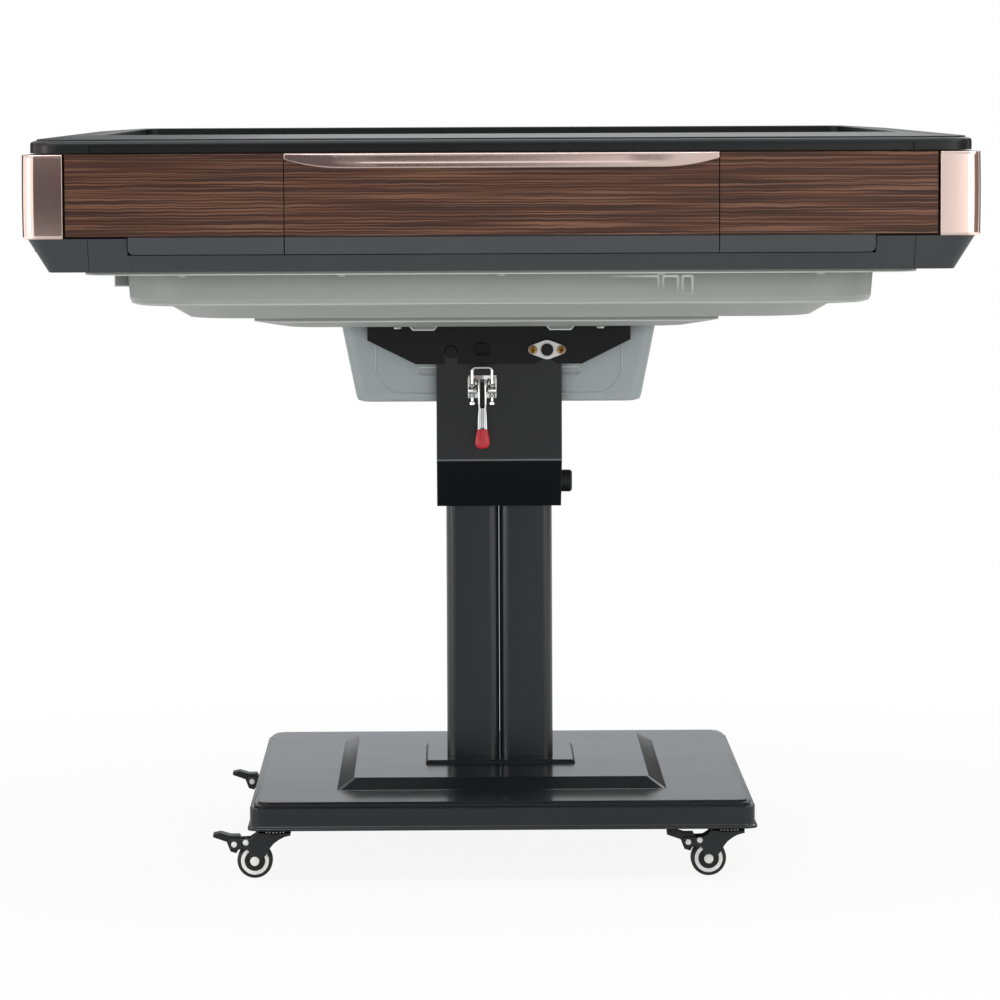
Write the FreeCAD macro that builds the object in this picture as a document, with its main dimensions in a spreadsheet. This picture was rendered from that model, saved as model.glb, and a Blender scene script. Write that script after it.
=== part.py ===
import FreeCAD, Part
import math
import os

import Sketcher

# Driving dimensions in millimetres. X runs to the right, Y away from the front, Z up from the floor.
SIZES = {
    # Casters
    "wheel_diameter": 38.0,
    "wheel_width": 17.0,
    "tyre_depth": 5.5,
    "axle_radius": 3.0,
    "rivet_radius": 2.0,
    "rivet_head_ratio": 1.5,
    "rivet_head_height": 1.2,
    "caster_trail": 22.0,
    "caster_inset_x": 28.0,
    "caster_inset_y": 58.0,
    "caster_height": 58.4,
    "cup_radius": 14.0,
    "cup_height": 6.5,
    "stem_radius": 5.0,
    "stem_grip": 16.0,
    "leg_thickness": 2.0,
    "leg_gap": 1.0,
    "leg_lip": 5.0,
    "leg_throat_x": 8.0,
    "leg_throat_z": 5.0,
    "leg_boss": 5.5,
    "head_reach": 16.5,
    "head_back": 18.0,
    "head_plate": 2.5,
    "retainer_radius": 8.0,
    "retainer_height": 2.5,
    "pedal_pivot_x": 22.0,
    "pedal_pivot_z": 18.3,
    "pedal_reach": 22.5,
    "pedal_rise": 10.5,
    "pedal_thickness": 3.0,
    "pedal_heel": 8.0,
    "pedal_side_gap": 0.5,
    "shoe_lead": 2.4,
    "shoe_drop": 9.9,
    "stop_rivet_x": 9.6,
    "stop_rivet_z": 20.3,
    # Base
    "base_width": 542.0,
    "base_depth": 586.0,
    "base_corner": 14.0,
    "lip_height": 2.0,
    "lip_overhang": 2.5,
    "base_wall_height": 23.6,
    "shoulder_height": 5.5,
    "shoulder_inset": 5.0,
    "crown_height": 4.2,
    "step_top_width": 320.0,
    "step_top_depth": 356.0,
    "step_slope_run": 17.5,
    "step_corner": 6.0,
    "step_height": 7.2,
    "sheet_thickness": 2.0,
    "rail_width": 36.0,
    "rail_height": 20.0,
    "foot_length": 165.0,
    "foot_width": 145.0,
    "foot_thickness": 3.6,
    "foot_chamfer": 2.5,
    "bolt_edge_x": 12.5,
    "bolt_edge_y": 17.5,
    "bolt_radius": 4.0,
    "bolt_head_radius": 8.0,
    "bolt_head_height": 5.0,
    "bolt_grip": 3.0,
    # Column and fork
    "column_width": 118.0,
    "column_depth": 80.0,
    "column_corner": 12.0,
    "column_wall": 3.0,
    "pivot_height": 455.5,
    "fork_width": 137.0,
    "fork_depth": 200.0,
    "fork_plate": 4.0,
    "cheek_rise": 17.0,
    "shoulder_rise": 54.5,
    "floor_gap": 6.8,
    "column_overlap": 50.0,
    "pivot_offset": 52.4,
    "shaft_radius": 6.5,
    "shaft_proud": 1.5,
    "pin_radius": 6.0,
    "pin_proud": 2.5,
    "pin_drop": 2.0,
    "collar_radius": 11.0,
    "collar_length": 4.0,
    "bumper_radius": 12.25,
    "bumper_rise": 24.0,
    "bumper_chamfer": 2.0,
    # Toggle latch
    "latch_offset": 18.5,
    "latch_plate_width": 31.0,
    "latch_plate_height": 25.0,
    "latch_plate_thickness": 2.0,
    "latch_drop": 40.5,
    "lever_pivot_drop": 36.0,
    "lever_standoff": 8.0,
    "lever_pin_radius": 2.5,
    "lever_half_width": 5.5,
    "lever_head": 4.4,
    "lever_length": 68.0,
    "lever_thickness": 4.0,
    "lever_slot_width": 3.6,
    "lever_slot_drop": 27.0,
    "lever_slot_web": 2.0,
    "ear_thickness": 2.0,
    "ear_radius": 4.4,
    "trunnion_drop": 8.0,
    "trunnion_lead": 4.0,
    "trunnion_radius": 4.0,
    "loop_width": 23.0,
    "loop_rod_radius": 2.0,
    "loop_bend_radius": 7.0,
    "loop_rise": 25.0,
    "loop_tail": 17.0,
    "loop_nut_radius": 3.3,
    "loop_nut_height": 3.5,
    "grip_length": 17.0,
    "grip_width": 16.5,
    "grip_thickness": 9.0,
    # Table body, from the outer faces inwards and from the belly upwards
    "table_width": 970.0,
    "panel_inset": 4.0,
    "panel_thickness": 12.0,
    "batten_depth": 29.0,
    "ring_width": 40.0,
    "ring_height": 20.0,
    "post_return": 42.0,
    "post_wall": 8.0,
    "post_gap": 2.0,
    "post_corner": 18.0,
    "rim_inset": 7.0,
    "rim_width": 65.0,
    "rim_edge_height": 13.6,
    "rim_crest_height": 4.0,
    "rim_crest_run": 4.0,
    "rim_corner": 30.0,
    "rim_seam": 37.0,
    "rim_recess_depth": 4.0,
    "rim_recess_height": 10.1,
    "rim_recess_end": 60.5,
    "board_thickness": 14.0,
    "board_ledge": 20.0,
    "cloth_thickness": 2.0,
    "panel_height": 82.7,
    "band_gap": 2.3,
    "rim_gap": 1.4,
    "skirt_height": 34.4,
    "skirt_inset": 4.5,
    "skirt_slant": 20.5,
    "skirt_corner_top": 18.0,
    "skirt_corner_bottom": 8.0,
    "skirt_seam": 61.5,
    "notch_end": 106.0,
    "notch_depth": 17.2,
    "strip_height": 18.5,
    "strip_end_gap": 1.0,
    "strip_round": 6.0,
    "strip_groove_height": 1.4,
    "strip_groove_depth": 2.0,
    "flange_inset": 12.0,
    "flange_width": 39.0,
    "flange_thickness": 4.6,
    "flange_corner": 40.0,
    "tier_one_height": 34.0,
    "tier_one_draft": 2.0,
    "tier_one_round": 7.0,
    "tier_one_corner": 70.0,
    "tier_two_inset": 39.0,
    "tier_two_slant": 23.0,
    "tier_two_height": 15.0,
    "tier_two_corner": 60.0,
    "tier_three_length": 498.0,
    "tier_three_width": 440.0,
    "tier_three_height": 16.5,
    "tier_three_corner": 35.0,
    "tier_three_slope_run": 34.0,
    "tier_three_slope_rise": 7.0,
    "tier_three_shift": 14.0,
    "belly_wall": 3.0,
    "pivot_to_belly": 29.5,
    "foot_pad_length": 33.0,
    "foot_pad_slope": 5.0,
    "foot_pad_drop": 6.0,
    "foot_pad_depth": 12.0,
    "foot_pad_spacing": 148.0,
    "foot_pad_shift": 8.0,
    "rib_recess_left": 82.0,
    "rib_recess_width": 115.0,
    "rib_recess_height": 18.0,
    "rib_recess_depth": 1.5,
    "rib_width": 5.0,
    "inlet_width": 30.0,
    "inlet_height": 15.0,
    "inlet_proud": 15.0,
    "inlet_depth": 22.0,
    "inlet_wall": 3.0,
    "inlet_setback": 99.0,
    # Hinge brackets and the box that hangs between them
    "wing_thickness": 3.0,
    "wing_width": 287.0,
    "wing_side": 18.9,
    "wing_height": 45.2,
    "wing_tip_width": 181.4,
    "wing_flange": 36.0,
    "hook_width": 15.0,
    "relief_width": 24.0,
    "relief_top": 9.0,
    "relief_rise": 5.0,
    "catch_width": 16.4,
    "catch_height": 14.0,
    "catch_reach": 7.5,
    "catch_lip": 2.0,
    "bearing_length": 41.0,
    "bearing_width": 20.8,
    "bearing_end_radius": 5.0,
    "bearing_thickness": 6.0,
    "screw_radius": 2.5,
    "screw_head_radius": 4.6,
    "screw_head_height": 3.0,
    "flange_screw_spacing": 220.0,
    "housing_top_width": 345.0,
    "housing_bottom_width": 313.0,
    "housing_height": 87.5,
    "housing_corner": 12.0,
    "housing_round": 8.0,
    "housing_side_gap": 11.0,
    "housing_wall": 3.0,
    "face_width": 270.0,
    "face_corner": 30.0,
    "face_sill": 9.0,
    "face_depth": 0.8,
    "groove_length": 170.0,
    "groove_width": 8.0,
    "groove_depth": 1.0,
    "groove_height": 33.5,
    # Drawers
    "drawer_margin": 265.0,
    "tray_side_gap": 20.0,
    "tray_depth": 139.0,
    "tray_height": 77.0,
    "tray_wall": 3.0,
    "tray_floor_gap": 3.4,
    "tongue_width": 8.0,
    "tongue_height": 5.4,
    "tongue_drop": 12.5,
    "runner_height": 39.4,
    "runner_wall": 6.0,
    "pull_thickness": 3.5,
    "pull_height": 13.0,
    "pull_sweep_run": 58.5,
    "pull_end_height": 4.5,
    "pull_lift": 0.5,
    # Playing surface, tile lifts and centre console
    "lift_inset": 210.0,
    "lift_width": 44.0,
    "slot_corner_gap": 8.0,
    "lift_plate": 6.0,
    "lift_post_radius": 5.0,
    "lift_post_spacing": 300.0,
    "lift_frame_width": 20.0,
    "lift_frame_height": 15.0,
    "lift_frame_drop": 44.4,
    "guide_radius": 6.0,
    "guide_boss_radius": 14.0,
    "guide_boss_height": 25.0,
    "console_radius": 74.0,
    "console_gap": 0.6,
    "console_rise": 3.6,
    "console_plate": 6.0,
    "console_drum_height": 56.0,
    "console_wall": 4.0,
    "console_stem_radius": 20.0,
    "console_stem_length": 140.0,
    "dome_radius": 30.0,
    "dome_height": 6.0,
    "button_radius": 8.0,
    "button_offset": 52.0,
    "button_rise": 3.0,
    "button_flange": 2.0,
    # Tile shuffling drive
    "post_radius": 28.0,
    "post_height": 122.0,
    "post_foot_radius": 60.0,
    "post_foot_height": 4.0,
    "thrust_radius": 40.0,
    "thrust_height": 22.0,
    "turntable_radius": 230.0,
    "turntable_plate": 6.0,
    "turntable_rim_height": 21.0,
    "turntable_rim_wall": 6.0,
    "turntable_hub_height": 28.0,
    "turntable_hub_wall": 15.0,
    "paddle_count": 6.0,
    "paddle_width": 8.0,
    "paddle_height": 8.0,
    "drive_ring_radius": 150.0,
    "drive_ring_wall": 6.0,
    "drive_ring_drop": 11.0,
    "motor_offset": 110.0,
    "motor_radius": 32.0,
    "motor_height": 72.5,
    "drive_shaft_radius": 5.0,
    "drive_shaft_grip": 20.0,
    "drive_wheel_height": 10.0,
    "shaft_hole_radius": 12.0,
    # Clearances shared by every pair of pieces
    "fit_clearance": 0.05,
    "running_gap": 0.3,
    "seam_gap": 0.5,
}

HALF_TURN = 180.0
QUARTER_TURN = 90.0
BEND_SLOPE = math.tan(math.radians(22.5))
SLANT_WIDTH = math.sqrt(2.0)

doc = FreeCAD.newDocument("FoldingMahjongTable")
nodes = []


class Dim:
    """A length kept together with the sheet formula that drives it."""

    def __init__(self, value, formula):
        self.value = value
        self.formula = formula

    def __add__(self, other):
        other = dim(other)
        return Dim(self.value + other.value, f"({self.formula} + {other.formula})")

    def __sub__(self, other):
        other = dim(other)
        return Dim(self.value - other.value, f"({self.formula} - {other.formula})")

    def __mul__(self, other):
        other = dim(other)
        return Dim(self.value * other.value, f"({self.formula} * {other.formula})")

    def __truediv__(self, other):
        other = dim(other)
        return Dim(self.value / other.value, f"({self.formula} / {other.formula})")

    def __neg__(self):
        return Dim(-self.value, f"(-1 * {self.formula})")


def dim(size):
    """Give a plain number the same form as a sheet size."""
    if isinstance(size, Dim):
        return size
    return Dim(float(size), f"({float(size)!r})")


def root(size):
    """Square root of a size."""
    return Dim(math.sqrt(size.value), f"sqrt({size.formula})")


def hypotenuse(first, second):
    """Long side of a right triangle."""
    return root(first * first + second * second)


class SizeSheet:
    """The driving dimensions as attributes, each bound to its cell in the spreadsheet."""

    def __init__(self, sizes):
        sheet = doc.addObject("Spreadsheet::Sheet", "Sizes")
        for row, (name, value) in enumerate(sizes.items(), start=1):
            sheet.set(f"A{row}", name)
            sheet.set(f"B{row}", str(value))
            sheet.setAlias(f"B{row}", name)
            setattr(self, name, Dim(float(value), f"Sizes.{name}"))


s = SizeSheet(SIZES)
doc.recompute()

# Heights, from the floor up
base_z = s.caster_height
wall_z = base_z + s.base_wall_height
shoulder_z = wall_z + s.shoulder_height
crown_z = shoulder_z + s.crown_height
step_z = crown_z + s.step_height
foot_z = step_z + s.foot_thickness
pivot_z = foot_z + s.pivot_height
belly_z = pivot_z + s.pivot_to_belly
tier_two_z = belly_z + s.tier_three_height
tier_one_z = tier_two_z + s.tier_two_height
flange_z = tier_one_z + s.tier_one_height
skirt_z = flange_z + s.flange_thickness
band_z = skirt_z + s.skirt_height
panel_z = band_z + s.band_gap
panel_top_z = panel_z + s.panel_height
rim_z = panel_top_z + s.rim_gap
board_z = rim_z - s.board_thickness
cloth_z = rim_z + s.cloth_thickness
ring_z = skirt_z + s.ring_height
strip_z = panel_z - s.strip_height
housing_z = belly_z - s.housing_height

# Distances from the table's centre, from the outer faces inwards
table_half = s.table_width / 2
panel_face = table_half - s.panel_inset
panel_back = panel_face - s.panel_thickness
frame_half = panel_back - s.batten_depth
ring_inner = frame_half - s.ring_width
post_inner = table_half - s.post_wall
post_end = table_half - s.post_return
rim_outer = table_half - s.rim_inset
rim_inner = rim_outer - s.rim_width
board_half = frame_half + s.board_ledge
skirt_top = table_half - s.skirt_inset
skirt_bottom = skirt_top - s.skirt_slant
notch_half = table_half - s.notch_end
strip_half = notch_half - s.strip_end_gap
flange_half = frame_half - s.flange_inset
tier_one_half = flange_half - s.flange_width
tier_two_half = tier_one_half - s.tier_two_inset
drawer_half = table_half - s.drawer_margin
tray_half = drawer_half - s.tray_side_gap
tray_back = panel_back - s.tray_depth
tray_z = ring_z + s.tray_floor_gap
tray_top_z = tray_z + s.tray_height
batten_start = drawer_half + s.runner_wall
lift_at = table_half - s.lift_inset
lift_half = lift_at - s.lift_width / 2 - s.slot_corner_gap

# Pedestal distances
base_half = s.base_width / 2
wall_half = base_half - s.lip_overhang
caster_x = base_half - s.caster_inset_x
caster_y = s.base_depth / 2 - s.caster_inset_y
bolt_x = s.foot_length / 2 - s.bolt_edge_x
bolt_y = s.foot_width / 2 - s.bolt_edge_y
fork_half = s.fork_width / 2
cheek_y = s.fork_depth / 2
wing_y = cheek_y + s.running_gap
bearing_y = wing_y + s.wing_thickness
housing_half_depth = cheek_y - s.fork_plate - s.housing_side_gap
swing_radius = hypotenuse(s.housing_bottom_width / 2 - s.pivot_offset, pivot_z - housing_z)
fork_floor_z = pivot_z - swing_radius - s.floor_gap
fork_base_z = fork_floor_z - s.column_overlap
bend_z = fork_base_z + s.shoulder_rise
pin_z = pivot_z - s.pin_drop
axle_z = s.wheel_diameter / 2


def bind(thing, path, size):
    """Tie one property to the sheet."""
    thing.setExpression(path, dim(size).formula)


def place(thing, x=0, y=0, z=0, turn=None):
    """Put a piece at a position that follows the sheet, with a fixed turn."""
    spot = [dim(size) for size in (x, y, z)]
    base = FreeCAD.Vector(*[size.value for size in spot])
    thing.Placement = FreeCAD.Placement(base, turn or FreeCAD.Rotation())
    for axis, size in zip("xyz", spot):
        bind(thing, f"Placement.Base.{axis}", size)
    return thing


def block(x_span, y_span, z_span):
    """A plain block between three pairs of planes."""
    piece = doc.addObject("Part::Box", "Block")
    spans = [(dim(low), dim(high)) for low, high in (x_span, y_span, z_span)]
    for name, (low, high) in zip(("Length", "Width", "Height"), spans):
        bind(piece, name, high - low)
    return place(piece, *[low for low, high in spans])


def both(half):
    """A span that is centred on zero."""
    return (-half, half)


AXIS_TURNS = {
    "x": FreeCAD.Rotation(FreeCAD.Vector(0, 1, 0), QUARTER_TURN),
    "y": FreeCAD.Rotation(FreeCAD.Vector(1, 0, 0), -QUARTER_TURN),
    "z": FreeCAD.Rotation(),
}


def rod(axis, at, radius, span):
    """A round bar along one axis, at the two other coordinates."""
    piece = doc.addObject("Part::Cylinder", "Rod")
    low, high = dim(span[0]), dim(span[1])
    bind(piece, "Radius", radius)
    bind(piece, "Height", high - low)
    spot = list(at)
    spot.insert("xyz".index(axis), low)
    return place(piece, *spot, turn=AXIS_TURNS[axis])


def add_arc(sketch, start, stop, bend):
    """Add the shorter arc between two points; a positive bend turns to the left."""
    chord = stop - start
    side = FreeCAD.Vector(-chord.y, chord.x, 0).normalize()
    reach = math.sqrt(max(bend * bend - chord.Length ** 2 / 4, 0.0))
    centre = (start + stop) * 0.5 + side * math.copysign(reach, bend)
    first, last = (start, stop) if bend > 0 else (stop, start)
    angles = [math.atan2(spot.y - centre.y, spot.x - centre.x) for spot in (first, last)]
    if angles[1] < angles[0]:
        angles[1] += math.tau
    circle = Part.Circle(centre, FreeCAD.Vector(0, 0, 1), abs(bend))
    number = sketch.addGeometry(Part.ArcOfCircle(circle, *angles), False)
    return (number, 1, 2) if bend > 0 else (number, 2, 1)


def draw_outline(sketch, points):
    """Draw a closed outline whose corners and arc radii follow the sheet.

    A point is (across, up), or (across, up, bend) when an arc leads from it to the next point.
    """
    spots = [FreeCAD.Vector(dim(point[0]).value, dim(point[1]).value, 0) for point in points]
    lines = []
    for index, point in enumerate(points):
        start, stop = spots[index], spots[(index + 1) % len(points)]
        if len(point) == 3:
            lines.append(add_arc(sketch, start, stop, dim(point[2]).value))
        else:
            lines.append((sketch.addGeometry(Part.LineSegment(start, stop), False), 1, 2))
    for index, (number, first, last) in enumerate(lines):
        after = lines[(index + 1) % len(lines)]
        sketch.addConstraint(Sketcher.Constraint("Coincident", number, last, after[0], after[1]))
    for (number, first, last), point in zip(lines, points):
        rules = [("DistanceX", point[0]), ("DistanceY", point[1])]
        for kind, size in rules:
            rule = Sketcher.Constraint(kind, -1, 1, number, first, dim(size).value)
            bind(sketch, f"Constraints[{sketch.addConstraint(rule)}]", size)
        if len(point) == 3:
            bend = dim(point[2])
            radius = bend if bend.value > 0 else -bend
            rule = Sketcher.Constraint("Radius", number, radius.value)
            bind(sketch, f"Constraints[{sketch.addConstraint(rule)}]", radius)


def body_with_outline(plane, points):
    """Start a body with one outline on one of its own origin planes."""
    body = doc.addObject("PartDesign::Body", "Piece")
    sketch = body.newObject("Sketcher::SketchObject", "Outline")
    support = [part for part in body.Origin.OriginFeatures if part.Role == f"{plane}_Plane"]
    sketch.AttachmentSupport = [(support[0], "")]
    sketch.MapMode = "FlatFace"
    draw_outline(sketch, points)
    return body, sketch


PULL_AXES = {"XY": "z", "XZ": "y", "YZ": "x"}


def prism(plane, points, span):
    """Pad an outline between two planes along the plane's normal."""
    body, sketch = body_with_outline(plane, points)
    pad = body.newObject("PartDesign::Pad", "Pad")
    pad.Profile = sketch
    pad.Reversed = plane == "XZ"
    bind(pad, "Length", dim(span[1]) - dim(span[0]))
    place(body, **{PULL_AXES[plane]: span[0]})
    return body


def dress(body, kind, size, wanted):
    """Fillet or chamfer the edges of a body whose middle point is wanted."""
    doc.recompute()
    base = body.Tip
    names = [
        f"Edge{number}"
        for number, edge in enumerate(base.Shape.Edges, start=1)
        if wanted(edge.CenterOfMass)
    ]
    feature = body.newObject(f"PartDesign::{kind}", kind)
    feature.Base = (base, names)
    bind(feature, "Radius" if kind == "Fillet" else "Size", size)
    body.Tip = feature
    return body


def turned_profile(points, x=0, y=0, z=0, turn=None):
    """Turn a half profile of (radius, height) points about the vertical axis."""
    body, sketch = body_with_outline("XZ", points)
    spin = body.newObject("PartDesign::Revolution", "Revolution")
    spin.Profile = sketch
    spin.ReferenceAxis = (sketch, ["V_Axis"])
    spin.Angle = 2 * HALF_TURN
    return place(body, x, y, z, turn)


def rounded_rectangle(half_x, half_y, corner):
    """Outline of a rectangle with round corners."""
    return [
        (half_x - corner, -half_y, corner),
        (half_x, -(half_y - corner)),
        (half_x, half_y - corner, corner),
        (half_x - corner, half_y),
        (-(half_x - corner), half_y, corner),
        (-half_x, half_y - corner),
        (-half_x, -(half_y - corner), corner),
        (-(half_x - corner), -half_y),
    ]


def stack(sections):
    """Join rounded rectangles (half_x, half_y, corner, height) with straight walls."""
    loft = doc.addObject("Part::Loft", "Stack")
    sketches = []
    for half_x, half_y, corner, height in sections:
        sketch = doc.addObject("Sketcher::SketchObject", "Section")
        draw_outline(sketch, rounded_rectangle(half_x, half_y, corner))
        sketches.append(place(sketch, z=height))
    loft.Sections = sketches
    loft.Solid = True
    loft.Ruled = True
    return loft


def square_stack(sections):
    """A stack of squares (half, corner, height)."""
    return stack([(half, half, corner, height) for half, corner, height in sections])


def group(*pieces):
    """Keep several pieces together without joining them."""
    bundle = doc.addObject("Part::Compound", "Group")
    bundle.Links = list(pieces)
    return bundle


def fuse(*pieces):
    """Join pieces into one solid."""
    joined = doc.addObject("Part::MultiFuse", "Joined")
    joined.Shapes = list(pieces)
    joined.Refine = True
    return joined


def cut(base, *tools):
    """Take tools away from a base."""
    left = doc.addObject("Part::Cut", "Cut")
    left.Base = base
    left.Tool = tools[0] if len(tools) == 1 else fuse(*tools)
    return left


def common(base, tool):
    """Keep what two pieces share."""
    shared = doc.addObject("Part::Common", "Common")
    shared.Base = base
    shared.Tool = tool
    return shared


def mirrored(piece, x=0, y=0, z=0):
    """A mirror image in a plane through the origin with this normal."""
    image = doc.addObject("Part::Mirroring", "Mirror")
    image.Source = piece
    image.Normal = FreeCAD.Vector(x, y, z)
    return image


def quarter_turned(piece, quarters):
    """The piece turned about the table's centre by a number of quarter turns."""
    bundle = group(piece)
    turn = FreeCAD.Rotation(FreeCAD.Vector(0, 0, 1), QUARTER_TURN * quarters)
    bundle.Placement = FreeCAD.Placement(FreeCAD.Vector(), turn)
    return bundle


def on_four_sides(piece):
    """The piece repeated on all four sides of the table."""
    return [quarter_turned(piece, quarters) for quarters in range(4)]


def moved(piece, x, y):
    """The piece carried to another place on the floor plan."""
    return place(group(piece), x, y)


def node(name, *pieces):
    """Name a finished sub-part."""
    thing = pieces[0] if len(pieces) == 1 else group(*pieces)
    thing.Label = name
    nodes.append(thing)


# Base, column and fork


def base_cover():
    """Pressed steel cover with a flared lip, a rounded shoulder and a raised step."""
    sheet = s.sheet_thickness
    top, top_y = s.step_top_width / 2, s.step_top_depth / 2
    foot, foot_y = top + s.step_slope_run, top_y + s.step_slope_run
    deeper = s.base_depth / 2 - base_half
    slope_z = wall_z + s.shoulder_height / 2
    slope_half = wall_half - s.shoulder_inset / 4
    ledge_half = wall_half - s.shoulder_inset
    outer = stack([
        (half, half + deeper, s.base_corner, z)
        for half, z in (
            (base_half, base_z),
            (base_half, base_z + s.lip_height),
            (wall_half, base_z + s.lip_height * 2),
            (wall_half, wall_z),
            (slope_half, slope_z),
            (ledge_half, shoulder_z),
        )
    ] + [
        (foot, foot_y, s.step_corner, crown_z),
        (top, top_y, s.step_corner, step_z),
    ])
    inner = stack([
        (half - sheet, half - sheet + deeper, s.base_corner, z)
        for half, z in (
            (wall_half, base_z - sheet),
            (wall_half, wall_z - sheet / 2),
            (ledge_half, shoulder_z - sheet),
        )
    ] + [
        (foot - sheet, foot_y - sheet, s.step_corner, crown_z - sheet),
        (top - sheet, top_y - sheet, s.step_corner, step_z - sheet),
    ])
    return cut(outer, inner, *bolt_holes(s.bolt_radius + s.running_gap))


def bolt_holes(radius):
    """Bars through the four foot bolts, from under the base to the bolt ends."""
    span = (base_z - s.bolt_head_height, step_z + s.bolt_grip)
    return [rod("z", (x, y), radius, span) for x in both(bolt_x) for y in both(bolt_y)]


def base_frame():
    """Welded box rails that carry the casters, with a block under the foot plate."""
    rail_top = base_z + s.rail_height
    rail_half = s.rail_width / 2
    end = wall_half - s.sheet_thickness - s.base_corner
    rails = [block(both(end), (y - rail_half, y + rail_half), (base_z, rail_top)) for y in both(caster_y)]
    spread = caster_y - rail_half
    rails += [block((x - rail_half, x + rail_half), both(spread), (base_z, rail_top)) for x in both(bolt_x)]
    rails.append(block(
        both(s.foot_length / 2), both(s.foot_width / 2), (base_z, step_z - s.sheet_thickness)
    ))
    stems = [
        rod("z", (x, y), s.stem_radius + s.fit_clearance, (base_z, base_z + s.stem_grip))
        for x in both(caster_x)
        for y in both(caster_y)
    ]
    return cut(fuse(*rails), *stems, *bolt_holes(s.bolt_radius + s.running_gap))


def foot_plate():
    """Steel plate with bevelled top edges that the column is welded to."""
    plate = prism("XY", [
        (-s.foot_length / 2, -s.foot_width / 2),
        (s.foot_length / 2, -s.foot_width / 2),
        (s.foot_length / 2, s.foot_width / 2),
        (-s.foot_length / 2, s.foot_width / 2),
    ], (step_z, foot_z))
    dress(plate, "Chamfer", s.foot_chamfer, lambda spot: spot.z > s.foot_thickness.value * 0.99)
    return cut(plate, *bolt_holes(s.bolt_radius + s.running_gap))


def foot_bolt(x, y):
    """Hexagon bolt driven from below into the foot plate."""
    flat = s.bolt_head_radius * math.sqrt(3) / 2
    half = s.bolt_head_radius / 2
    head = prism("XY", [
        (s.bolt_head_radius, 0),
        (half, flat),
        (-half, flat),
        (-s.bolt_head_radius, 0),
        (-half, -flat),
        (half, -flat),
    ], (base_z - s.bolt_head_height, base_z))
    shank = rod("z", (0, 0), s.bolt_radius, (base_z, step_z + s.bolt_grip))
    return moved(fuse(head, shank), x, y)


def column_tube():
    """One of the two round-cornered steel tubes of the column, right of the centre."""
    half_x, half_y = s.column_width / 4, s.column_depth / 2
    wall = s.column_wall
    top = fork_floor_z - s.fork_plate
    outer = prism("XY", rounded_rectangle(half_x, half_y, s.column_corner), (foot_z, top))
    bore = prism(
        "XY", rounded_rectangle(half_x - wall, half_y - wall, s.column_corner - wall), (foot_z, top)
    )
    return moved(cut(outer, bore), half_x, 0)


def fork_sleeve():
    """Folded fork: two upright cheeks, sloping shoulders, closed sides and a floor plate."""
    plate = s.fork_plate
    top = pivot_z + s.cheek_rise
    inner_base = s.column_depth / 2
    outer_base = inner_base + plate * SLANT_WIDTH
    inner_cheek = cheek_y - plate
    inner_bend = bend_z + plate * BEND_SLOPE
    slope = (inner_cheek - inner_base) / (inner_bend - fork_base_z)
    floor_low = fork_floor_z - plate
    low_y = inner_base + (floor_low - fork_base_z) * slope
    high_y = inner_base + (fork_floor_z - fork_base_z) * slope
    cheek = prism("YZ", [
        (-cheek_y, top),
        (-cheek_y, bend_z),
        (-outer_base, fork_base_z),
        (-inner_base, fork_base_z),
        (-inner_cheek, inner_bend),
        (-inner_cheek, top),
    ], both(fork_half))
    floor = prism("YZ", [
        (-low_y, floor_low),
        (low_y, floor_low),
        (high_y, fork_floor_z),
        (-high_y, fork_floor_z),
    ], both(fork_half))
    side = prism("YZ", [
        (-inner_base, fork_base_z),
        (inner_base, fork_base_z),
        (high_y, fork_floor_z),
        (-high_y, fork_floor_z),
    ], (fork_half - plate, fork_half))
    through = both(cheek_y + plate)
    holes = [
        rod("y", (s.pivot_offset, pivot_z), s.shaft_radius + s.fit_clearance, through),
        rod("y", (-s.pivot_offset, pin_z), s.pin_radius + s.fit_clearance, through),
    ]
    return cut(fuse(cheek, mirrored(cheek, y=1), floor, side, mirrored(side, x=1)), *holes)


def fork_pin(x, z, radius, outer_y):
    """A pin through the front cheek with a collar against the cheek's inner face."""
    inner = -(cheek_y - s.fork_plate)
    shaft = rod("y", (x, z), radius, (-outer_y, inner + s.collar_length))
    collar = rod("y", (x, z), s.collar_radius, (inner, inner + s.collar_length))
    return fuse(shaft, collar)


def fork_pins():
    """Pivot shafts and stop pins of both cheeks."""
    shaft_end = bearing_y + s.bearing_thickness + s.shaft_proud
    shaft = fork_pin(s.pivot_offset, pivot_z, s.shaft_radius, shaft_end)
    stop = fork_pin(-s.pivot_offset, pin_z, s.pin_radius, bearing_y + s.pin_proud)
    return [shaft, mirrored(shaft, y=1), stop, mirrored(stop, y=1)]


def fold_bumper():
    """Round rubber buffer on the fork's side that the folded table leans on."""
    reach = s.pivot_offset + s.pivot_to_belly - s.running_gap - fork_half
    profile = [
        (0, 0),
        (s.bumper_radius, 0),
        (s.bumper_radius, reach - s.bumper_chamfer),
        (s.bumper_radius - s.bumper_chamfer, reach),
        (0, reach),
    ]
    height = fork_base_z + s.bumper_rise
    return turned_profile(profile, fork_half, 0, height, AXIS_TURNS["x"])


# Toggle latch on the front cheek

latch_x = -s.latch_offset
lever_y = -(cheek_y + s.lever_standoff)
lever_z = pivot_z - s.lever_pivot_drop
trunnion_y = lever_y - s.trunnion_lead
trunnion_z = lever_z - s.trunnion_drop
ear_inner = s.lever_half_width + s.seam_gap
ear_outer = ear_inner + s.ear_thickness
lever_foot_z = lever_z - s.lever_length


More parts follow.
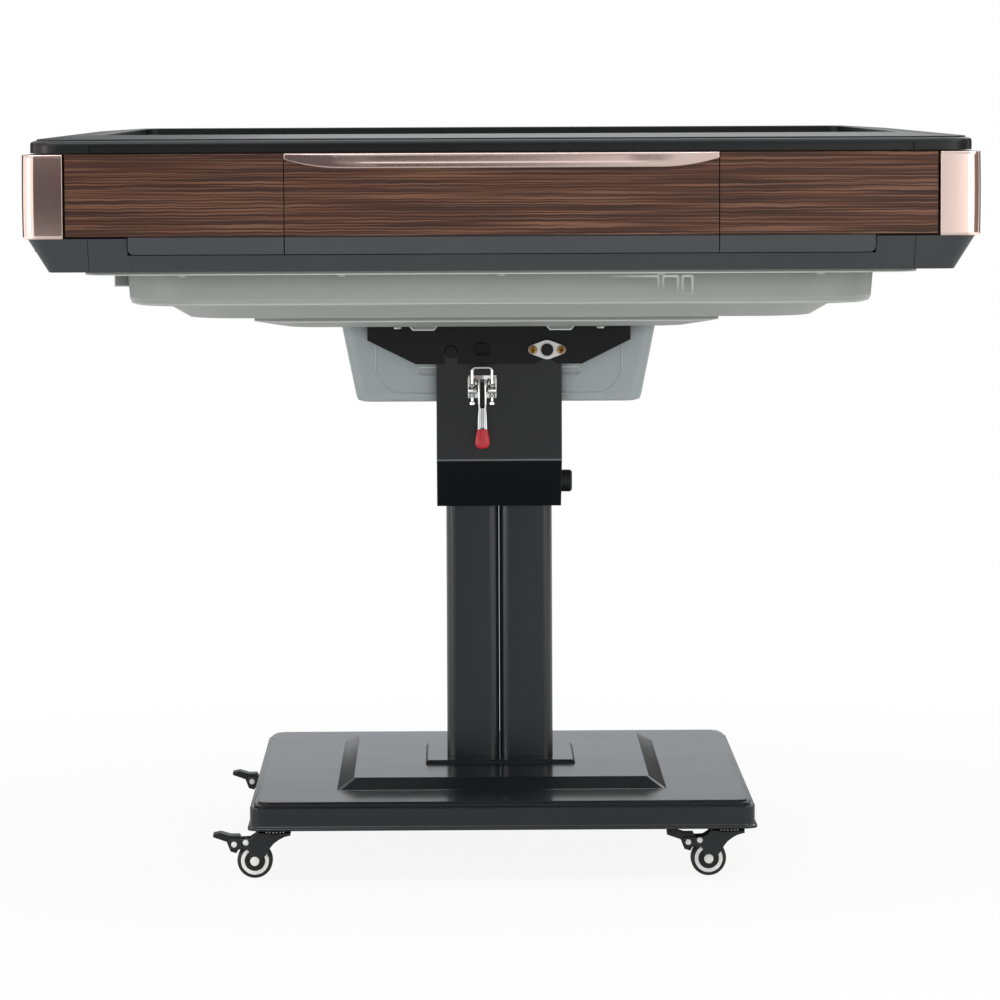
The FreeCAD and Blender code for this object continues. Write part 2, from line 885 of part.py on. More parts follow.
def latch_base():
    """Plate with two ears that hold the lever's pin."""
    half_x, half_z = s.latch_plate_width / 2, s.latch_plate_height / 2
    middle = pivot_z - s.latch_drop
    face = -(cheek_y + s.latch_plate_thickness)
    plate = block((latch_x - half_x, latch_x + half_x), (face, -cheek_y), (middle - half_z, middle + half_z))
    pieces = [plate]
    for side in (-1, 1):
        span = sorted((latch_x + ear_inner * side, latch_x + ear_outer * side), key=lambda size: size.value)
        pieces.append(block(span, (lever_y, face), (lever_z - s.ear_radius, lever_z + s.ear_radius)))
        pieces.append(rod("x", (lever_y, lever_z), s.ear_radius, span))
    span = (latch_x - ear_outer, latch_x + ear_outer)
    pieces.append(rod("x", (lever_y, lever_z), s.lever_pin_radius, span))
    return fuse(*pieces)


def latch_lever():
    """Tapered channel lever with bores for its pin and for the loop's trunnion."""
    back = lever_y + s.lever_pin_radius + s.seam_gap * 2
    front = trunnion_y - s.trunnion_radius - s.seam_gap
    tang_back = lever_y + s.lever_thickness / 2
    tang_front = lever_y - s.lever_thickness / 2
    span = (latch_x - s.lever_half_width, latch_x + s.lever_half_width)
    knee_z = trunnion_z - s.trunnion_radius * 2
    bar = prism("YZ", [
        (front + s.trunnion_lead, lever_z + s.lever_head),
        (front, trunnion_z),
        (front + s.seam_gap, knee_z),
        (tang_front, lever_foot_z),
        (tang_back, lever_foot_z),
        (back, knee_z),
        (back, lever_z + s.lever_head),
    ], span)
    bores = [
        rod("x", (lever_y, lever_z), s.lever_pin_radius + s.fit_clearance, span),
        rod("x", (trunnion_y, trunnion_z), s.trunnion_radius + s.fit_clearance, span),
    ]
    half_slot = s.lever_slot_width / 2
    slot = block(
        (latch_x - half_slot, latch_x + half_slot),
        (front, back - s.lever_slot_web),
        (lever_z - s.lever_slot_drop, lever_z + s.lever_head),
    )
    return cut(bar, *bores, slot)


def latch_grip(lever):
    """Soft grip moulded over the lever's lower end."""
    half_x, half_y = s.grip_width / 2, s.grip_thickness / 2
    bulge_z = lever_foot_z + half_x / 2
    grip = prism("XZ", [
        (-s.lever_half_width, lever_foot_z + s.grip_length),
        (-half_x, bulge_z, half_x),
        (0, bulge_z - half_x, half_x),
        (half_x, bulge_z),
        (s.lever_half_width, lever_foot_z + s.grip_length),
    ], (lever_y - half_y, lever_y + half_y))
    return cut(moved(grip, latch_x, 0), lever)


def latch_loop():
    """Bent rod loop with nuts, carried by a cross trunnion."""
    half = s.loop_width / 2
    top_z = trunnion_z + s.loop_rise
    tail_z = trunnion_z - s.loop_tail
    reach = half + s.trunnion_radius
    straight = half - s.loop_bend_radius
    upright = FreeCAD.Rotation(FreeCAD.Vector(1, 0, 0), QUARTER_TURN)
    to_left = upright.multiply(FreeCAD.Rotation(FreeCAD.Vector(0, 0, 1), QUARTER_TURN))
    pieces = [
        rod("x", (trunnion_y, trunnion_z), s.trunnion_radius, (latch_x - reach, latch_x + reach)),
        rod("x", (trunnion_y, top_z), s.loop_rod_radius, (latch_x - straight, latch_x + straight)),
    ]
    for x, bend_x, turn in (
        (latch_x - half, latch_x - straight, to_left),
        (latch_x + half, latch_x + straight, upright),
    ):
        bend = doc.addObject("Part::Torus", "Bend")
        bind(bend, "Radius1", s.loop_bend_radius)
        bind(bend, "Radius2", s.loop_rod_radius)
        bend.Angle3 = QUARTER_TURN
        leg_top = top_z - s.loop_bend_radius
        pieces.append(place(bend, bend_x, trunnion_y, leg_top, turn))
        pieces.append(rod("z", (x, trunnion_y), s.loop_rod_radius, (tail_z, leg_top)))
        nut_top = trunnion_z - s.trunnion_radius - s.seam_gap
        for low in (nut_top - s.loop_nut_height, tail_z):
            pieces.append(rod("z", (x, trunnion_y), s.loop_nut_radius, (low, low + s.loop_nut_height)))
    return fuse(*pieces)


# Casters, drawn about the swivel axis with the wheel set off to the left

fork_top_z = base_z - s.cup_height - s.running_gap
fork_low_z = fork_top_z - s.head_plate
leg_inner = s.wheel_width / 2 + s.leg_gap
leg_outer = leg_inner + s.leg_thickness
pedal_x = -(s.caster_trail + s.pedal_pivot_x)
pedal_z = axle_z + s.pedal_pivot_z


def caster_stem():
    """Fixed race cup with a stem into the base and a retaining flange under the fork."""
    flange_top = fork_low_z - s.running_gap
    return turned_profile([
        (0, flange_top - s.retainer_height),
        (s.retainer_radius, flange_top - s.retainer_height),
        (s.retainer_radius, flange_top),
        (s.stem_radius, flange_top),
        (s.stem_radius, base_z - s.cup_height),
        (s.cup_radius, base_z - s.cup_height),
        (s.cup_radius, base_z),
        (s.stem_radius, base_z),
        (s.stem_radius, base_z + s.stem_grip),
        (0, base_z + s.stem_grip),
    ])


def caster_fork():
    """Pressed fork with two legs, the axle and the rivets of the brake."""
    axle_x = -s.caster_trail
    boss = s.leg_boss
    leg = prism("XZ", [
        (-s.head_back, fork_top_z),
        (axle_x - boss, pedal_z + boss),
        (pedal_x - boss, pedal_z + boss),
        (pedal_x - boss, pedal_z - boss),
        (axle_x - boss, pedal_z - boss),
        (axle_x - boss, axle_z, boss),
        (axle_x, axle_z - boss, boss),
        (axle_x + boss, axle_z),
        (-s.leg_throat_x, axle_z + s.leg_throat_z),
        (s.head_reach, fork_top_z - s.leg_lip),
        (s.head_reach, fork_top_z),
    ], (leg_inner, leg_outer))
    plate = block((-s.head_back, s.head_reach), both(leg_outer), (fork_low_z, fork_top_z))
    stop_x = axle_x - s.stop_rivet_x
    rivets = []
    for x, z, radius in (
        (axle_x, axle_z, s.axle_radius),
        (pedal_x, pedal_z, s.rivet_radius),
        (stop_x, axle_z + s.stop_rivet_z, s.rivet_radius),
    ):
        rivets.append(rod("y", (x, z), radius, both(leg_outer)))
        head = radius * s.rivet_head_ratio
        for span in (
            (leg_outer, leg_outer + s.rivet_head_height),
            (-(leg_outer + s.rivet_head_height), -leg_outer),
        ):
            rivets.append(rod("y", (x, z), head, span))
    frame = fuse(plate, leg, mirrored(leg, y=1), *rivets)
    return cut(frame, rod("z", (0, 0), s.stem_radius + s.fit_clearance, (fork_low_z, fork_top_z)))


def caster_wheel():
    """Tyre on a hub that turns on the fork's axle."""
    half = s.wheel_width / 2
    seat = axle_z - s.tyre_depth
    bore = s.axle_radius + s.fit_clearance
    edge = s.tyre_depth / 3
    turn = AXIS_TURNS["y"]
    tyre = turned_profile([
        (seat, -half),
        (axle_z - edge, -half),
        (axle_z, edge - half),
        (axle_z, half - edge),
        (axle_z - edge, half),
        (seat, half),
    ], -s.caster_trail, 0, axle_z, turn)
    hub = turned_profile([
        (bore, -half),
        (seat, -half),
        (seat, half),
        (bore, half),
    ], -s.caster_trail, 0, axle_z, turn)
    return group(tyre, hub)


def caster_pedal():
    """Brake pedal on its rivet, with a shoe that swings against the tyre."""
    tip_x = pedal_x - s.pedal_reach
    tread_z = pedal_z + s.pedal_rise
    heel_x = pedal_x + s.pedal_heel
    half = leg_inner - s.pedal_side_gap
    outline = prism("XZ", [
        (tip_x, tread_z - s.pedal_thickness),
        (pedal_x - s.pedal_heel, pedal_z + s.shoe_lead),
        (pedal_x - s.pedal_heel / 2, pedal_z - s.pedal_heel),
        (pedal_x + s.shoe_lead, pedal_z - s.shoe_drop),
        (heel_x - s.shoe_lead, pedal_z - s.pedal_heel / 2),
        (heel_x, pedal_z + s.pedal_heel / 2),
        (heel_x - s.shoe_lead, tread_z - s.pedal_thickness / 2),
        (pedal_x - s.pedal_heel / 2, tread_z - s.pedal_thickness / 2),
        (tip_x + s.pedal_heel, tread_z + s.pedal_thickness / 2),
        (tip_x, tread_z),
    ], both(half))
    return cut(outline, rod("y", (pedal_x, pedal_z), s.rivet_radius + s.fit_clearance, both(half)))


# Table: belly, brackets and box


def belly_shell():
    """Stepped moulded tray with a flange, a ribbed recess and an inlet opening."""
    wall = s.belly_wall
    three_x, three_y = s.tier_three_length / 2, s.tier_three_width / 2
    slope_run = s.tier_three_slope_run
    slope_z = belly_z + s.tier_three_slope_rise
    one_foot = tier_one_half - s.tier_one_draft
    two_foot = tier_two_half - s.tier_two_slant
    outer = fuse(
        square_stack([(flange_half, s.flange_corner, flange_z), (flange_half, s.flange_corner, skirt_z)]),
        square_stack([
            (one_foot - s.tier_one_round, s.tier_one_corner, tier_one_z),
            (one_foot - s.tier_one_round / 4, s.tier_one_corner, tier_one_z + s.tier_one_round / 4),
            (one_foot, s.tier_one_corner, tier_one_z + s.tier_one_round),
            (tier_one_half, s.tier_one_corner, flange_z),
        ]),
        square_stack([
            (two_foot, s.tier_two_corner, tier_two_z),
            (tier_two_half, s.tier_two_corner, tier_one_z),
        ]),
        moved(stack([
            (three_x - slope_run, three_y - slope_run, s.tier_three_corner, belly_z),
            (three_x, three_y, s.tier_three_corner, slope_z),
            (three_x, three_y, s.tier_three_corner, tier_two_z),
        ]), -s.tier_three_shift, 0),
        *foot_pads(),
    )
    inner = fuse(
        square_stack([
            (one_foot - wall, s.tier_one_corner, tier_one_z + wall),
            (tier_one_half - wall, s.tier_one_corner, flange_z),
            (tier_one_half - wall, s.tier_one_corner, skirt_z + wall),
        ]),
        square_stack([
            (two_foot - wall, s.tier_two_corner, tier_two_z + wall),
            (tier_two_half - wall, s.tier_two_corner, tier_one_z + wall),
        ]),
        moved(stack([
            (three_x - slope_run - wall, three_y - slope_run - wall, s.tier_three_corner, belly_z + wall),
            (three_x - wall, three_y - wall, s.tier_three_corner, slope_z + wall),
            (three_x - wall, three_y - wall, s.tier_three_corner, tier_two_z + wall),
        ]), -s.tier_three_shift, 0),
    )
    return cut(
        outer,
        inner,
        rod("z", (-s.motor_offset, 0), s.shaft_hole_radius, (belly_z - wall, belly_z + wall * 2)),
        inlet_core(0, s.inlet_proud + wall),
        rib_recess(),
    )


def foot_pads():
    """Two low pads under the belly, in front of the front bracket's flange."""
    half = s.foot_pad_length / 2
    back = -(bearing_y + s.wing_flange + s.seam_gap)
    pads = []
    for x in both(s.foot_pad_spacing / 2):
        middle = x - s.foot_pad_shift
        pads.append(prism("XZ", [
            (middle - half, belly_z),
            (middle - half + s.foot_pad_slope, belly_z - s.foot_pad_drop),
            (middle + half - s.foot_pad_slope, belly_z - s.foot_pad_drop),
            (middle + half, belly_z),
        ], (back - s.foot_pad_depth, back)))
    return pads


def inlet_core(inset, reach):
    """Block of the inlet's cross section, from outside the left wall inwards."""
    middle_y = s.inlet_setback - tier_one_half
    middle_z = flange_z - s.inlet_height / 2 - s.flange_thickness / 4
    outside = -(tier_one_half + reach)
    return block(
        (outside, -(tier_one_half - s.inlet_depth)),
        (middle_y - s.inlet_width / 2 + inset, middle_y + s.inlet_width / 2 - inset),
        (middle_z - s.inlet_height / 2 + inset, middle_z + s.inlet_height / 2 - inset),
    )


def power_inlet():
    """Appliance inlet: a shroud that stands out of the belly's left wall, open to the outside."""
    socket_end = -(tier_one_half - s.inlet_depth + s.inlet_wall)
    shroud = inlet_core(0, s.inlet_proud)
    bore = inlet_core(s.inlet_wall, s.inlet_proud + s.inlet_wall)
    back = block((socket_end, 0), both(table_half), (belly_z, skirt_z))
    return cut(shroud, cut(bore, back))


def rib_recess():
    """Recess in the front wall that deepens to the right and leaves two upright ribs."""
    top = flange_z - s.flange_thickness
    low = top - s.rib_recess_height
    right = s.rib_recess_left + s.rib_recess_width
    front = -(tier_one_half + s.rib_recess_depth)
    deep = -(tier_one_half - s.tier_one_draft)
    pocket = prism("XY", [
        (s.rib_recess_left, front),
        (right, front),
        (right, deep),
        (s.rib_recess_left, -tier_one_half),
    ], (low, top))
    ribs = [
        block((start, start + s.rib_width), (front, deep), (low, top))
        for start in (right - s.rib_width * 7, right - s.rib_width * 3)
    ]
    return cut(pocket, *ribs)


def motor_housing():
    """Open-topped box with sloping ends and a rounded foot, and a sunk panel with a groove on each face."""
    wall, bend = s.housing_wall, s.housing_round
    top, low = s.housing_top_width / 2, s.housing_bottom_width / 2
    deep = housing_half_depth
    outer = stack([
        (low - bend, deep - bend, s.housing_corner, housing_z),
        (low - bend / 4, deep - bend / 4, s.housing_corner, housing_z + bend / 4),
        (low, deep, s.housing_corner, housing_z + bend),
        (top, deep, s.housing_corner, belly_z),
    ])
    inner = stack([
        (low - wall - bend / 4, deep - wall - bend / 4, s.housing_corner - wall, housing_z + wall),
        (top - wall, deep - wall, s.housing_corner - wall, belly_z),
    ])
    face = s.face_width / 2
    sill_z = housing_z + s.face_sill
    face_y = -(housing_half_depth - s.face_depth)
    panel = prism("XZ", [
        (-face, belly_z),
        (-face, sill_z + s.face_corner, s.face_corner),
        (s.face_corner - face, sill_z),
        (face - s.face_corner, sill_z, s.face_corner),
        (face, sill_z + s.face_corner),
        (face, belly_z),
    ], (-housing_half_depth, face_y))
    groove_z = housing_z + s.groove_height
    end = s.groove_length / 2
    radius = s.groove_width / 2
    groove = prism("XZ", [
        (-end, groove_z - radius),
        (end, groove_z - radius, radius),
        (end + radius, groove_z, radius),
        (end, groove_z + radius),
        (-end, groove_z + radius, radius),
        (-(end + radius), groove_z, radius),
    ], (face_y, face_y + s.groove_depth))
    sunk = fuse(panel, groove)
    return cut(outer, inner, sunk, mirrored(sunk, y=1))


def wing_plate(with_catch):
    """Hinge bracket: a plate with a flange under the belly, a hook notch and a relief under the pivot."""
    half, tip = s.wing_width / 2, s.wing_tip_width / 2
    low = belly_z - s.wing_height
    hook = s.hook_width / 2
    hook_z = pin_z + s.pin_radius + s.running_gap - hook
    hook_x = -s.pivot_offset
    plate = prism("XZ", [
        (-half, belly_z),
        (-half, belly_z - s.wing_side),
        (-tip, low),
        (hook_x - hook, low),
        (hook_x - hook, hook_z, -hook),
        (hook_x, hook_z + hook, -hook),
        (hook_x + hook, hook_z),
        (hook_x + hook, low),
        (s.pivot_offset - s.relief_width / 2, low),
        (s.pivot_offset - s.relief_top / 2, low + s.relief_rise),
        (s.pivot_offset + s.relief_top / 2, low + s.relief_rise),
        (s.pivot_offset + s.relief_width / 2, low),
        (tip, low),
        (half, belly_z - s.wing_side),
        (half, belly_z),
    ], (-bearing_y, -wing_y))
    flange = block(both(half), (-(bearing_y + s.wing_flange), -wing_y), (belly_z - s.wing_thickness, belly_z))
    pieces = [plate, flange]
    if with_catch:
        catch_z = pivot_z - s.catch_height / 2
        catch_top, arch = catch_z + s.catch_height, s.catch_width / 2
        hooked = prism("YZ", [
            (-bearing_y, catch_z),
            (-(bearing_y + s.catch_reach), catch_top - s.catch_lip),
            (-(bearing_y + s.catch_reach), catch_top),
            (-(bearing_y + s.catch_reach - s.catch_lip), catch_top),
            (-bearing_y, catch_z + s.catch_lip * 2),
        ], both(arch))
        arched = prism("XZ", [
            (-arch, catch_z),
            (arch, catch_z),
            (arch, catch_top - arch, arch),
            (0, catch_top, arch),
            (-arch, catch_top - arch),
        ], (-(bearing_y + s.catch_reach), -bearing_y))
        pieces.append(moved(common(hooked, arched), latch_x, 0))
    reach = (-(bearing_y + s.running_gap), -(wing_y - s.running_gap))
    holes = [rod("y", (s.pivot_offset, pivot_z), s.shaft_radius + s.running_gap, reach)]
    holes += [rod("y", (x, pivot_z), s.screw_radius + s.fit_clearance, reach) for x in bearing_screw_xs()]
    flange_span = (belly_z - s.wing_thickness, belly_z)
    holes += [
        rod("z", (x, flange_screw_y()), s.screw_radius + s.fit_clearance, flange_span)
        for x in both(s.flange_screw_spacing / 2)
    ]
    return cut(fuse(*pieces), *holes)


def bearing_screw_xs():
    """Places of the two screws of a pivot bearing."""
    reach = s.bearing_length / 2 - s.bearing_end_radius
    return (s.pivot_offset - reach, s.pivot_offset + reach)


def flange_screw_y():
    """Row of the screws that hold the front flange to the belly."""
    return -(bearing_y + s.wing_flange / 2)


def pivot_bearing():
    """Oval flange bearing on the front bracket, with straight flanks between round ends."""
    big, small = s.bearing_width / 2, s.bearing_end_radius
    reach = s.bearing_length / 2 - small
    lean = (big - small) / reach
    rise = root(dim(1) - lean * lean)
    span = (-(bearing_y + s.bearing_thickness), -bearing_y)
    flank = prism("XZ", [
        (big * lean, -(big * rise)),
        (reach + small * lean, -(small * rise)),
        (reach + small * lean, small * rise),
        (big * lean, big * rise),
        (-(big * lean), big * rise),
        (-(reach + small * lean), small * rise),
        (-(reach + small * lean), -(small * rise)),
        (-(big * lean), -(big * rise)),
    ], span)
    place(flank, s.pivot_offset, span[0], pivot_z)
    ends = [rod("y", (x, pivot_z), small, span) for x in bearing_screw_xs()]
    core = rod("y", (s.pivot_offset, pivot_z), big, span)
    holes = [rod("y", (x, pivot_z), s.screw_radius + s.fit_clearance, span) for x in bearing_screw_xs()]
    bore = rod("y", (s.pivot_offset, pivot_z), s.shaft_radius + s.fit_clearance, span)
    return cut(fuse(flank, core, *ends), *holes, bore)


def bracket_screws():
    """Screws of the front bearing and of the front flange."""
    face = -(bearing_y + s.bearing_thickness)
    screws = []
    for x in bearing_screw_xs():
        shank = rod("y", (x, pivot_z), s.screw_radius, (face, -wing_y))
        head = rod("y", (x, pivot_z), s.screw_head_radius, (face - s.screw_head_height, face))
        screws.append(fuse(shank, head))
    low = belly_z - s.wing_thickness
    for x in both(s.flange_screw_spacing / 2):
        shank = rod("z", (x, flange_screw_y()), s.screw_radius, (low, belly_z))
        head = rod("z", (x, flange_screw_y()), s.screw_head_radius, (low - s.screw_head_height, low))
        screws.append(fuse(shank, head))
    return screws


# Table: frame, skirt, panels and rim


def chassis_frame():
    """Bottom ring, corner uprights and side battens that carry the board and the panels."""
    ring = cut(
        block(both(frame_half), both(frame_half), (skirt_z, ring_z)),
        block(both(ring_inner), both(ring_inner), (skirt_z, ring_z)),
    )
    upright = block((ring_inner, frame_half), (-frame_half, -ring_inner), (ring_z, board_z))
    batten = block((batten_start, frame_half), (-panel_back, -frame_half), (band_z, board_z))
    corner = block((frame_half, panel_back), (-panel_back, -frame_half), (band_z, board_z))
    backing = block((post_end, post_inner), (-post_inner, -post_end), (band_z, board_z))
    sides = [batten, mirrored(batten, x=1), upright, corner, backing]
    return fuse(ring, *[copy for side in sides for copy in on_four_sides(side)])


def skirt_frame():
    """Slanted skirt, parted into four rails with a notch each and four corner pieces."""
    ring = cut(
        square_stack([
            (skirt_bottom, s.skirt_corner_bottom, skirt_z),
            (skirt_top, s.skirt_corner_top, band_z),
        ]),
        block(both(frame_half), both(frame_half), (skirt_z, band_z)),
    )
    seam = skirt_top - s.skirt_seam
    rail = cut(
        common(ring, block(both(seam - s.seam_gap), (-table_half, -frame_half), (skirt_z, band_z))),
        block(both(notch_half), (-table_half, -frame_half), (band_z - s.notch_depth, band_z)),
    )
    corner = common(ring, block((seam, table_half), (-table_half, -seam), (skirt_z, band_z)))
    return on_four_sides(rail) + on_four_sides(corner)


def rim_frame():
    """Sloped rim round the playing surface, parted into four rails and four corner pieces."""
    edge_z = rim_z + s.rim_edge_height
    crest_half = rim_inner + s.rim_crest_run
    crest_corner = s.rim_corner / 2
    ring = cut(
        square_stack([
            (rim_outer, s.rim_corner, rim_z),
            (rim_outer, s.rim_corner, edge_z),
            (crest_half, crest_corner, edge_z + s.rim_crest_height),
        ]),
        square_stack([
            (rim_inner, crest_corner, rim_z),
            (rim_inner, crest_corner, edge_z + s.rim_crest_height),
        ]),
    )
    seam = rim_outer - s.rim_seam
    whole = (rim_z, edge_z + s.rim_crest_height)
    slab = cut(
        common(ring, prism("XY", [
            (-seam, -rim_outer),
            (seam, -rim_outer),
            (seam, -seam),
            (rim_inner, -rim_inner),
            (-rim_inner, -rim_inner),
            (-seam, -seam),
        ], whole)),
        block(
            both(rim_outer - s.rim_recess_end),
            (-rim_outer, -(rim_outer - s.rim_recess_depth)),
            (rim_z, rim_z + s.rim_recess_height),
        ),
    )
    corner = common(ring, block((seam, rim_outer), (-rim_outer, -seam), whole))
    return on_four_sides(slab) + on_four_sides(corner)


def corner_post():
    """Rounded corner casting that wraps the front right corner."""
    return cut(
        common(
            square_stack([
                (table_half, s.post_corner, band_z),
                (table_half, s.post_corner, panel_top_z),
            ]),
            block((post_end, table_half), (-table_half, -post_end), (band_z, panel_top_z)),
        ),
        block(both(post_inner), both(post_inner), (band_z, panel_top_z)),
    )


def side_panel():
    """Veneered panel between the drawer and the right corner post."""
    end = post_end - s.post_gap
    return block((drawer_half + s.seam_gap, end), (-panel_face, -panel_back), (panel_z, panel_top_z))


def panel_strip():
    """Dark strip under a side panel, with its outer lower corner rounded."""
    radius = s.strip_round
    strip = prism("XZ", [
        (drawer_half + s.seam_gap, strip_z),
        (strip_half - radius, strip_z, radius),
        (strip_half, strip_z + radius),
        (strip_half, panel_z),
        (drawer_half + s.seam_gap, panel_z),
    ], (-panel_face, -panel_back))
    return cut(strip, strip_groove())


def strip_groove():
    """Shadow groove along the top of the dark strips, under the veneer."""
    return block(
        both(strip_half),
        (-panel_face, s.strip_groove_depth - panel_face),
        (panel_z - s.strip_groove_height, panel_z),
    )


# Drawers, drawn on the front side


def drawer_front():
    """Veneered drawer front."""
    return block(both(drawer_half - s.seam_gap), (-panel_face, -panel_back), (panel_z, panel_top_z))


def drawer_pull():
    """Cast pull along the top of the drawer front, with ends that sweep up."""
    top = panel_top_z + s.pull_lift
    low = top - s.pull_height
    end_z = top - s.pull_end_height
    end = drawer_half - s.seam_gap
    run, climb = s.pull_sweep_run, end_z - low
    flat = end - run
    sweep = (run * run + climb * climb) / (climb * 2)
    return prism("XZ", [
        (-flat, low),
        (flat, low, sweep),
        (end, end_z),
        (end, top),
        (-end, top),
        (-end, end_z, sweep),
    ], (-(panel_face + s.pull_thickness), -panel_face))


def drawer_tray():
    """Moulded tray with side tongues and the dark strip under the drawer front."""
    wall = s.tray_wall
    shell = block(both(tray_half), (-panel_back, -tray_back), (tray_z, tray_top_z))
    well = block(
        both(tray_half - wall), (-(panel_back - wall), -(tray_back + wall)), (tray_z + wall, tray_top_z)
    )
    tongue_top = tray_top_z - s.tongue_drop
    tongue = block(
        (tray_half, tray_half + s.tongue_width),
        (-panel_back, -tray_back),
        (tongue_top - s.tongue_height, tongue_top),
    )
    strip = block(both(drawer_half - s.seam_gap), (-panel_face, -panel_back), (strip_z, panel_z))
    return fuse(cut(shell, well), tongue, mirrored(tongue, x=1), cut(strip, strip_groove()))


def drawer_runner():
    """Grooved runner under the board, right of the front drawer."""
    tongue_top = tray_top_z - s.tongue_drop
    bar = block(
        (tray_half + s.seam_gap, batten_start),
        (-panel_back, -tray_back),
        (board_z - s.runner_height, board_z),
    )
    groove = block(
        (tray_half, tray_half + s.tongue_width + s.seam_gap),
        (-panel_back, -tray_back),
        (tongue_top - s.tongue_height - s.running_gap, tongue_top + s.running_gap),
    )
    return cut(bar, groove)


# Playing surface, lifts, console and shuffling drive


def surface_openings(z_span):
    """Slots for the tile lifts and the hole of the console."""
    gap = s.seam_gap
    half = s.lift_width / 2 + gap
    slot = block(both(lift_half + gap), (-(lift_at + half), -(lift_at - half)), z_span)
    return on_four_sides(slot) + [rod("z", (0, 0), s.console_radius + s.console_gap, z_span)]


def playfield_board():
    """Board under the playing cloth."""
    span = (board_z, rim_z)
    return cut(block(both(board_half), both(board_half), span), *surface_openings(span))


def playfield_cloth():
    """Cloth inside the rim."""
    corner = s.rim_corner / 2
    half = rim_inner - s.fit_clearance
    sheet = square_stack([(half, corner, rim_z), (half, corner, cloth_z)])
    return cut(sheet, *surface_openings((rim_z, cloth_z)))


def tile_lifts():
    """Four lift plates on one frame that slides on the guide rods."""
    half = s.lift_width / 2
    top = board_z - s.lift_frame_drop
    low = top - s.lift_frame_height
    frame_half_width = s.lift_frame_width / 2
    plate = block(both(lift_half), (-(lift_at + half), -(lift_at - half)), (cloth_z - s.lift_plate, cloth_z))
    posts = [
        rod("z", (x, -lift_at), s.lift_post_radius, (top, cloth_z - s.lift_plate))
        for x in both(s.lift_post_spacing / 2)
    ]
    frame = cut(
        block(both(lift_at + frame_half_width), both(lift_at + frame_half_width), (low, top)),
        block(both(lift_at - frame_half_width), both(lift_at - frame_half_width), (low, top)),
    )
    boss_span = (top - s.guide_boss_height, top)
    boss = rod("z", (lift_at, -lift_at), s.guide_boss_radius, boss_span)
    bore = rod("z", (lift_at, -lift_at), s.guide_radius + s.fit_clearance, boss_span)
    copies = [copy for piece in (plate, *posts, boss) for copy in on_four_sides(piece)]
    return cut(fuse(frame, *copies), *on_four_sides(bore))


def console_body():
    """Round console drum on a stem that slides in the centre post."""
    top = cloth_z + s.console_rise
    under = top - s.console_plate
    low = top - s.console_drum_height
    stem, outer = s.console_stem_radius, s.console_radius
    body = turned_profile([
        (0, under - s.console_stem_length),
        (stem, under - s.console_stem_length),
        (stem, under),
        (outer - s.console_wall, under),
        (outer - s.console_wall, low),
        (outer, low),
        (outer, top),
        (0, top),
    ])
    return cut(body, rod("z", (s.button_offset, 0), s.button_radius + s.fit_clearance, (under, top)))


def dice_dome():
    """Low clear dome over the dice well."""
    top = cloth_z + s.console_rise
    sphere = (s.dome_radius * s.dome_radius + s.dome_height * s.dome_height) / (s.dome_height * 2)
    return turned_profile([(0, top), (s.dome_radius, top, sphere), (0, top + s.dome_height)])


def console_button():
    """Push button with a retaining flange under the console's top."""
    top = cloth_z + s.console_rise
    under = top - s.console_plate - s.running_gap
    return turned_profile([
        (0, under - s.button_flange),
        (s.button_radius + s.button_flange, under - s.button_flange),
        (s.button_radius + s.button_flange, under),
        (s.button_radius, under),
        (s.button_radius, top + s.button_rise),
        (0, top + s.button_rise),
    ], s.button_offset)


floor_z = belly_z + s.belly_wall
thrust_z = floor_z + s.thrust_height
deck_z = thrust_z + s.running_gap + s.drive_ring_drop + s.running_gap


def centre_post():
    """Fixed tube that guides the console and carries the turntable on a collar."""
    bore = s.console_stem_radius + s.fit_clearance
    return turned_profile([
        (bore, floor_z),
        (s.post_foot_radius, floor_z),
        (s.post_foot_radius, floor_z + s.post_foot_height),
        (s.thrust_radius, floor_z + s.post_foot_height),
        (s.thrust_radius, thrust_z),
        (s.post_radius, thrust_z),
        (s.post_radius, floor_z + s.post_height),
        (bore, floor_z + s.post_height),
    ])


def guide_posts():
    """Centre post and the four guide rods of the lift frame."""
    rod_piece = rod("z", (lift_at, -lift_at), s.guide_radius, (tier_two_z + s.belly_wall, board_z))
    return [centre_post()] + on_four_sides(rod_piece)


def turntable():
    """Shuffling disc with a rim, a hub, paddles and a driving ring underneath."""
    bore = s.post_radius + s.fit_clearance
    hub = bore + s.turntable_hub_wall
    low = thrust_z + s.running_gap
    plate_top = deck_z + s.turntable_plate
    ring_in = s.drive_ring_radius
    ring_out = ring_in + s.drive_ring_wall
    rim = s.turntable_radius
    disc = turned_profile([
        (bore, low),
        (hub, low),
        (hub, deck_z),
        (ring_in, deck_z),
        (ring_in, deck_z - s.drive_ring_drop),
        (ring_out, deck_z - s.drive_ring_drop),
        (ring_out, deck_z),
        (rim, deck_z),
        (rim, deck_z + s.turntable_rim_height),
        (rim - s.turntable_rim_wall, deck_z + s.turntable_rim_height),
        (rim - s.turntable_rim_wall, plate_top),
        (hub, plate_top),
        (hub, low + s.turntable_hub_height),
        (bore, low + s.turntable_hub_height),
    ])
    half = s.paddle_width / 2
    reach = (hub - s.running_gap, rim - s.turntable_rim_wall)
    paddles = []
    count = round(s.paddle_count.value)
    for number in range(count):
        paddle = group(block(reach, both(half), (plate_top, plate_top + s.paddle_height)))
        turn = FreeCAD.Rotation(FreeCAD.Vector(0, 0, 1), 2 * HALF_TURN * number / count)
        paddle.Placement = FreeCAD.Placement(FreeCAD.Vector(), turn)
        paddles.append(paddle)
    return fuse(disc, *paddles)


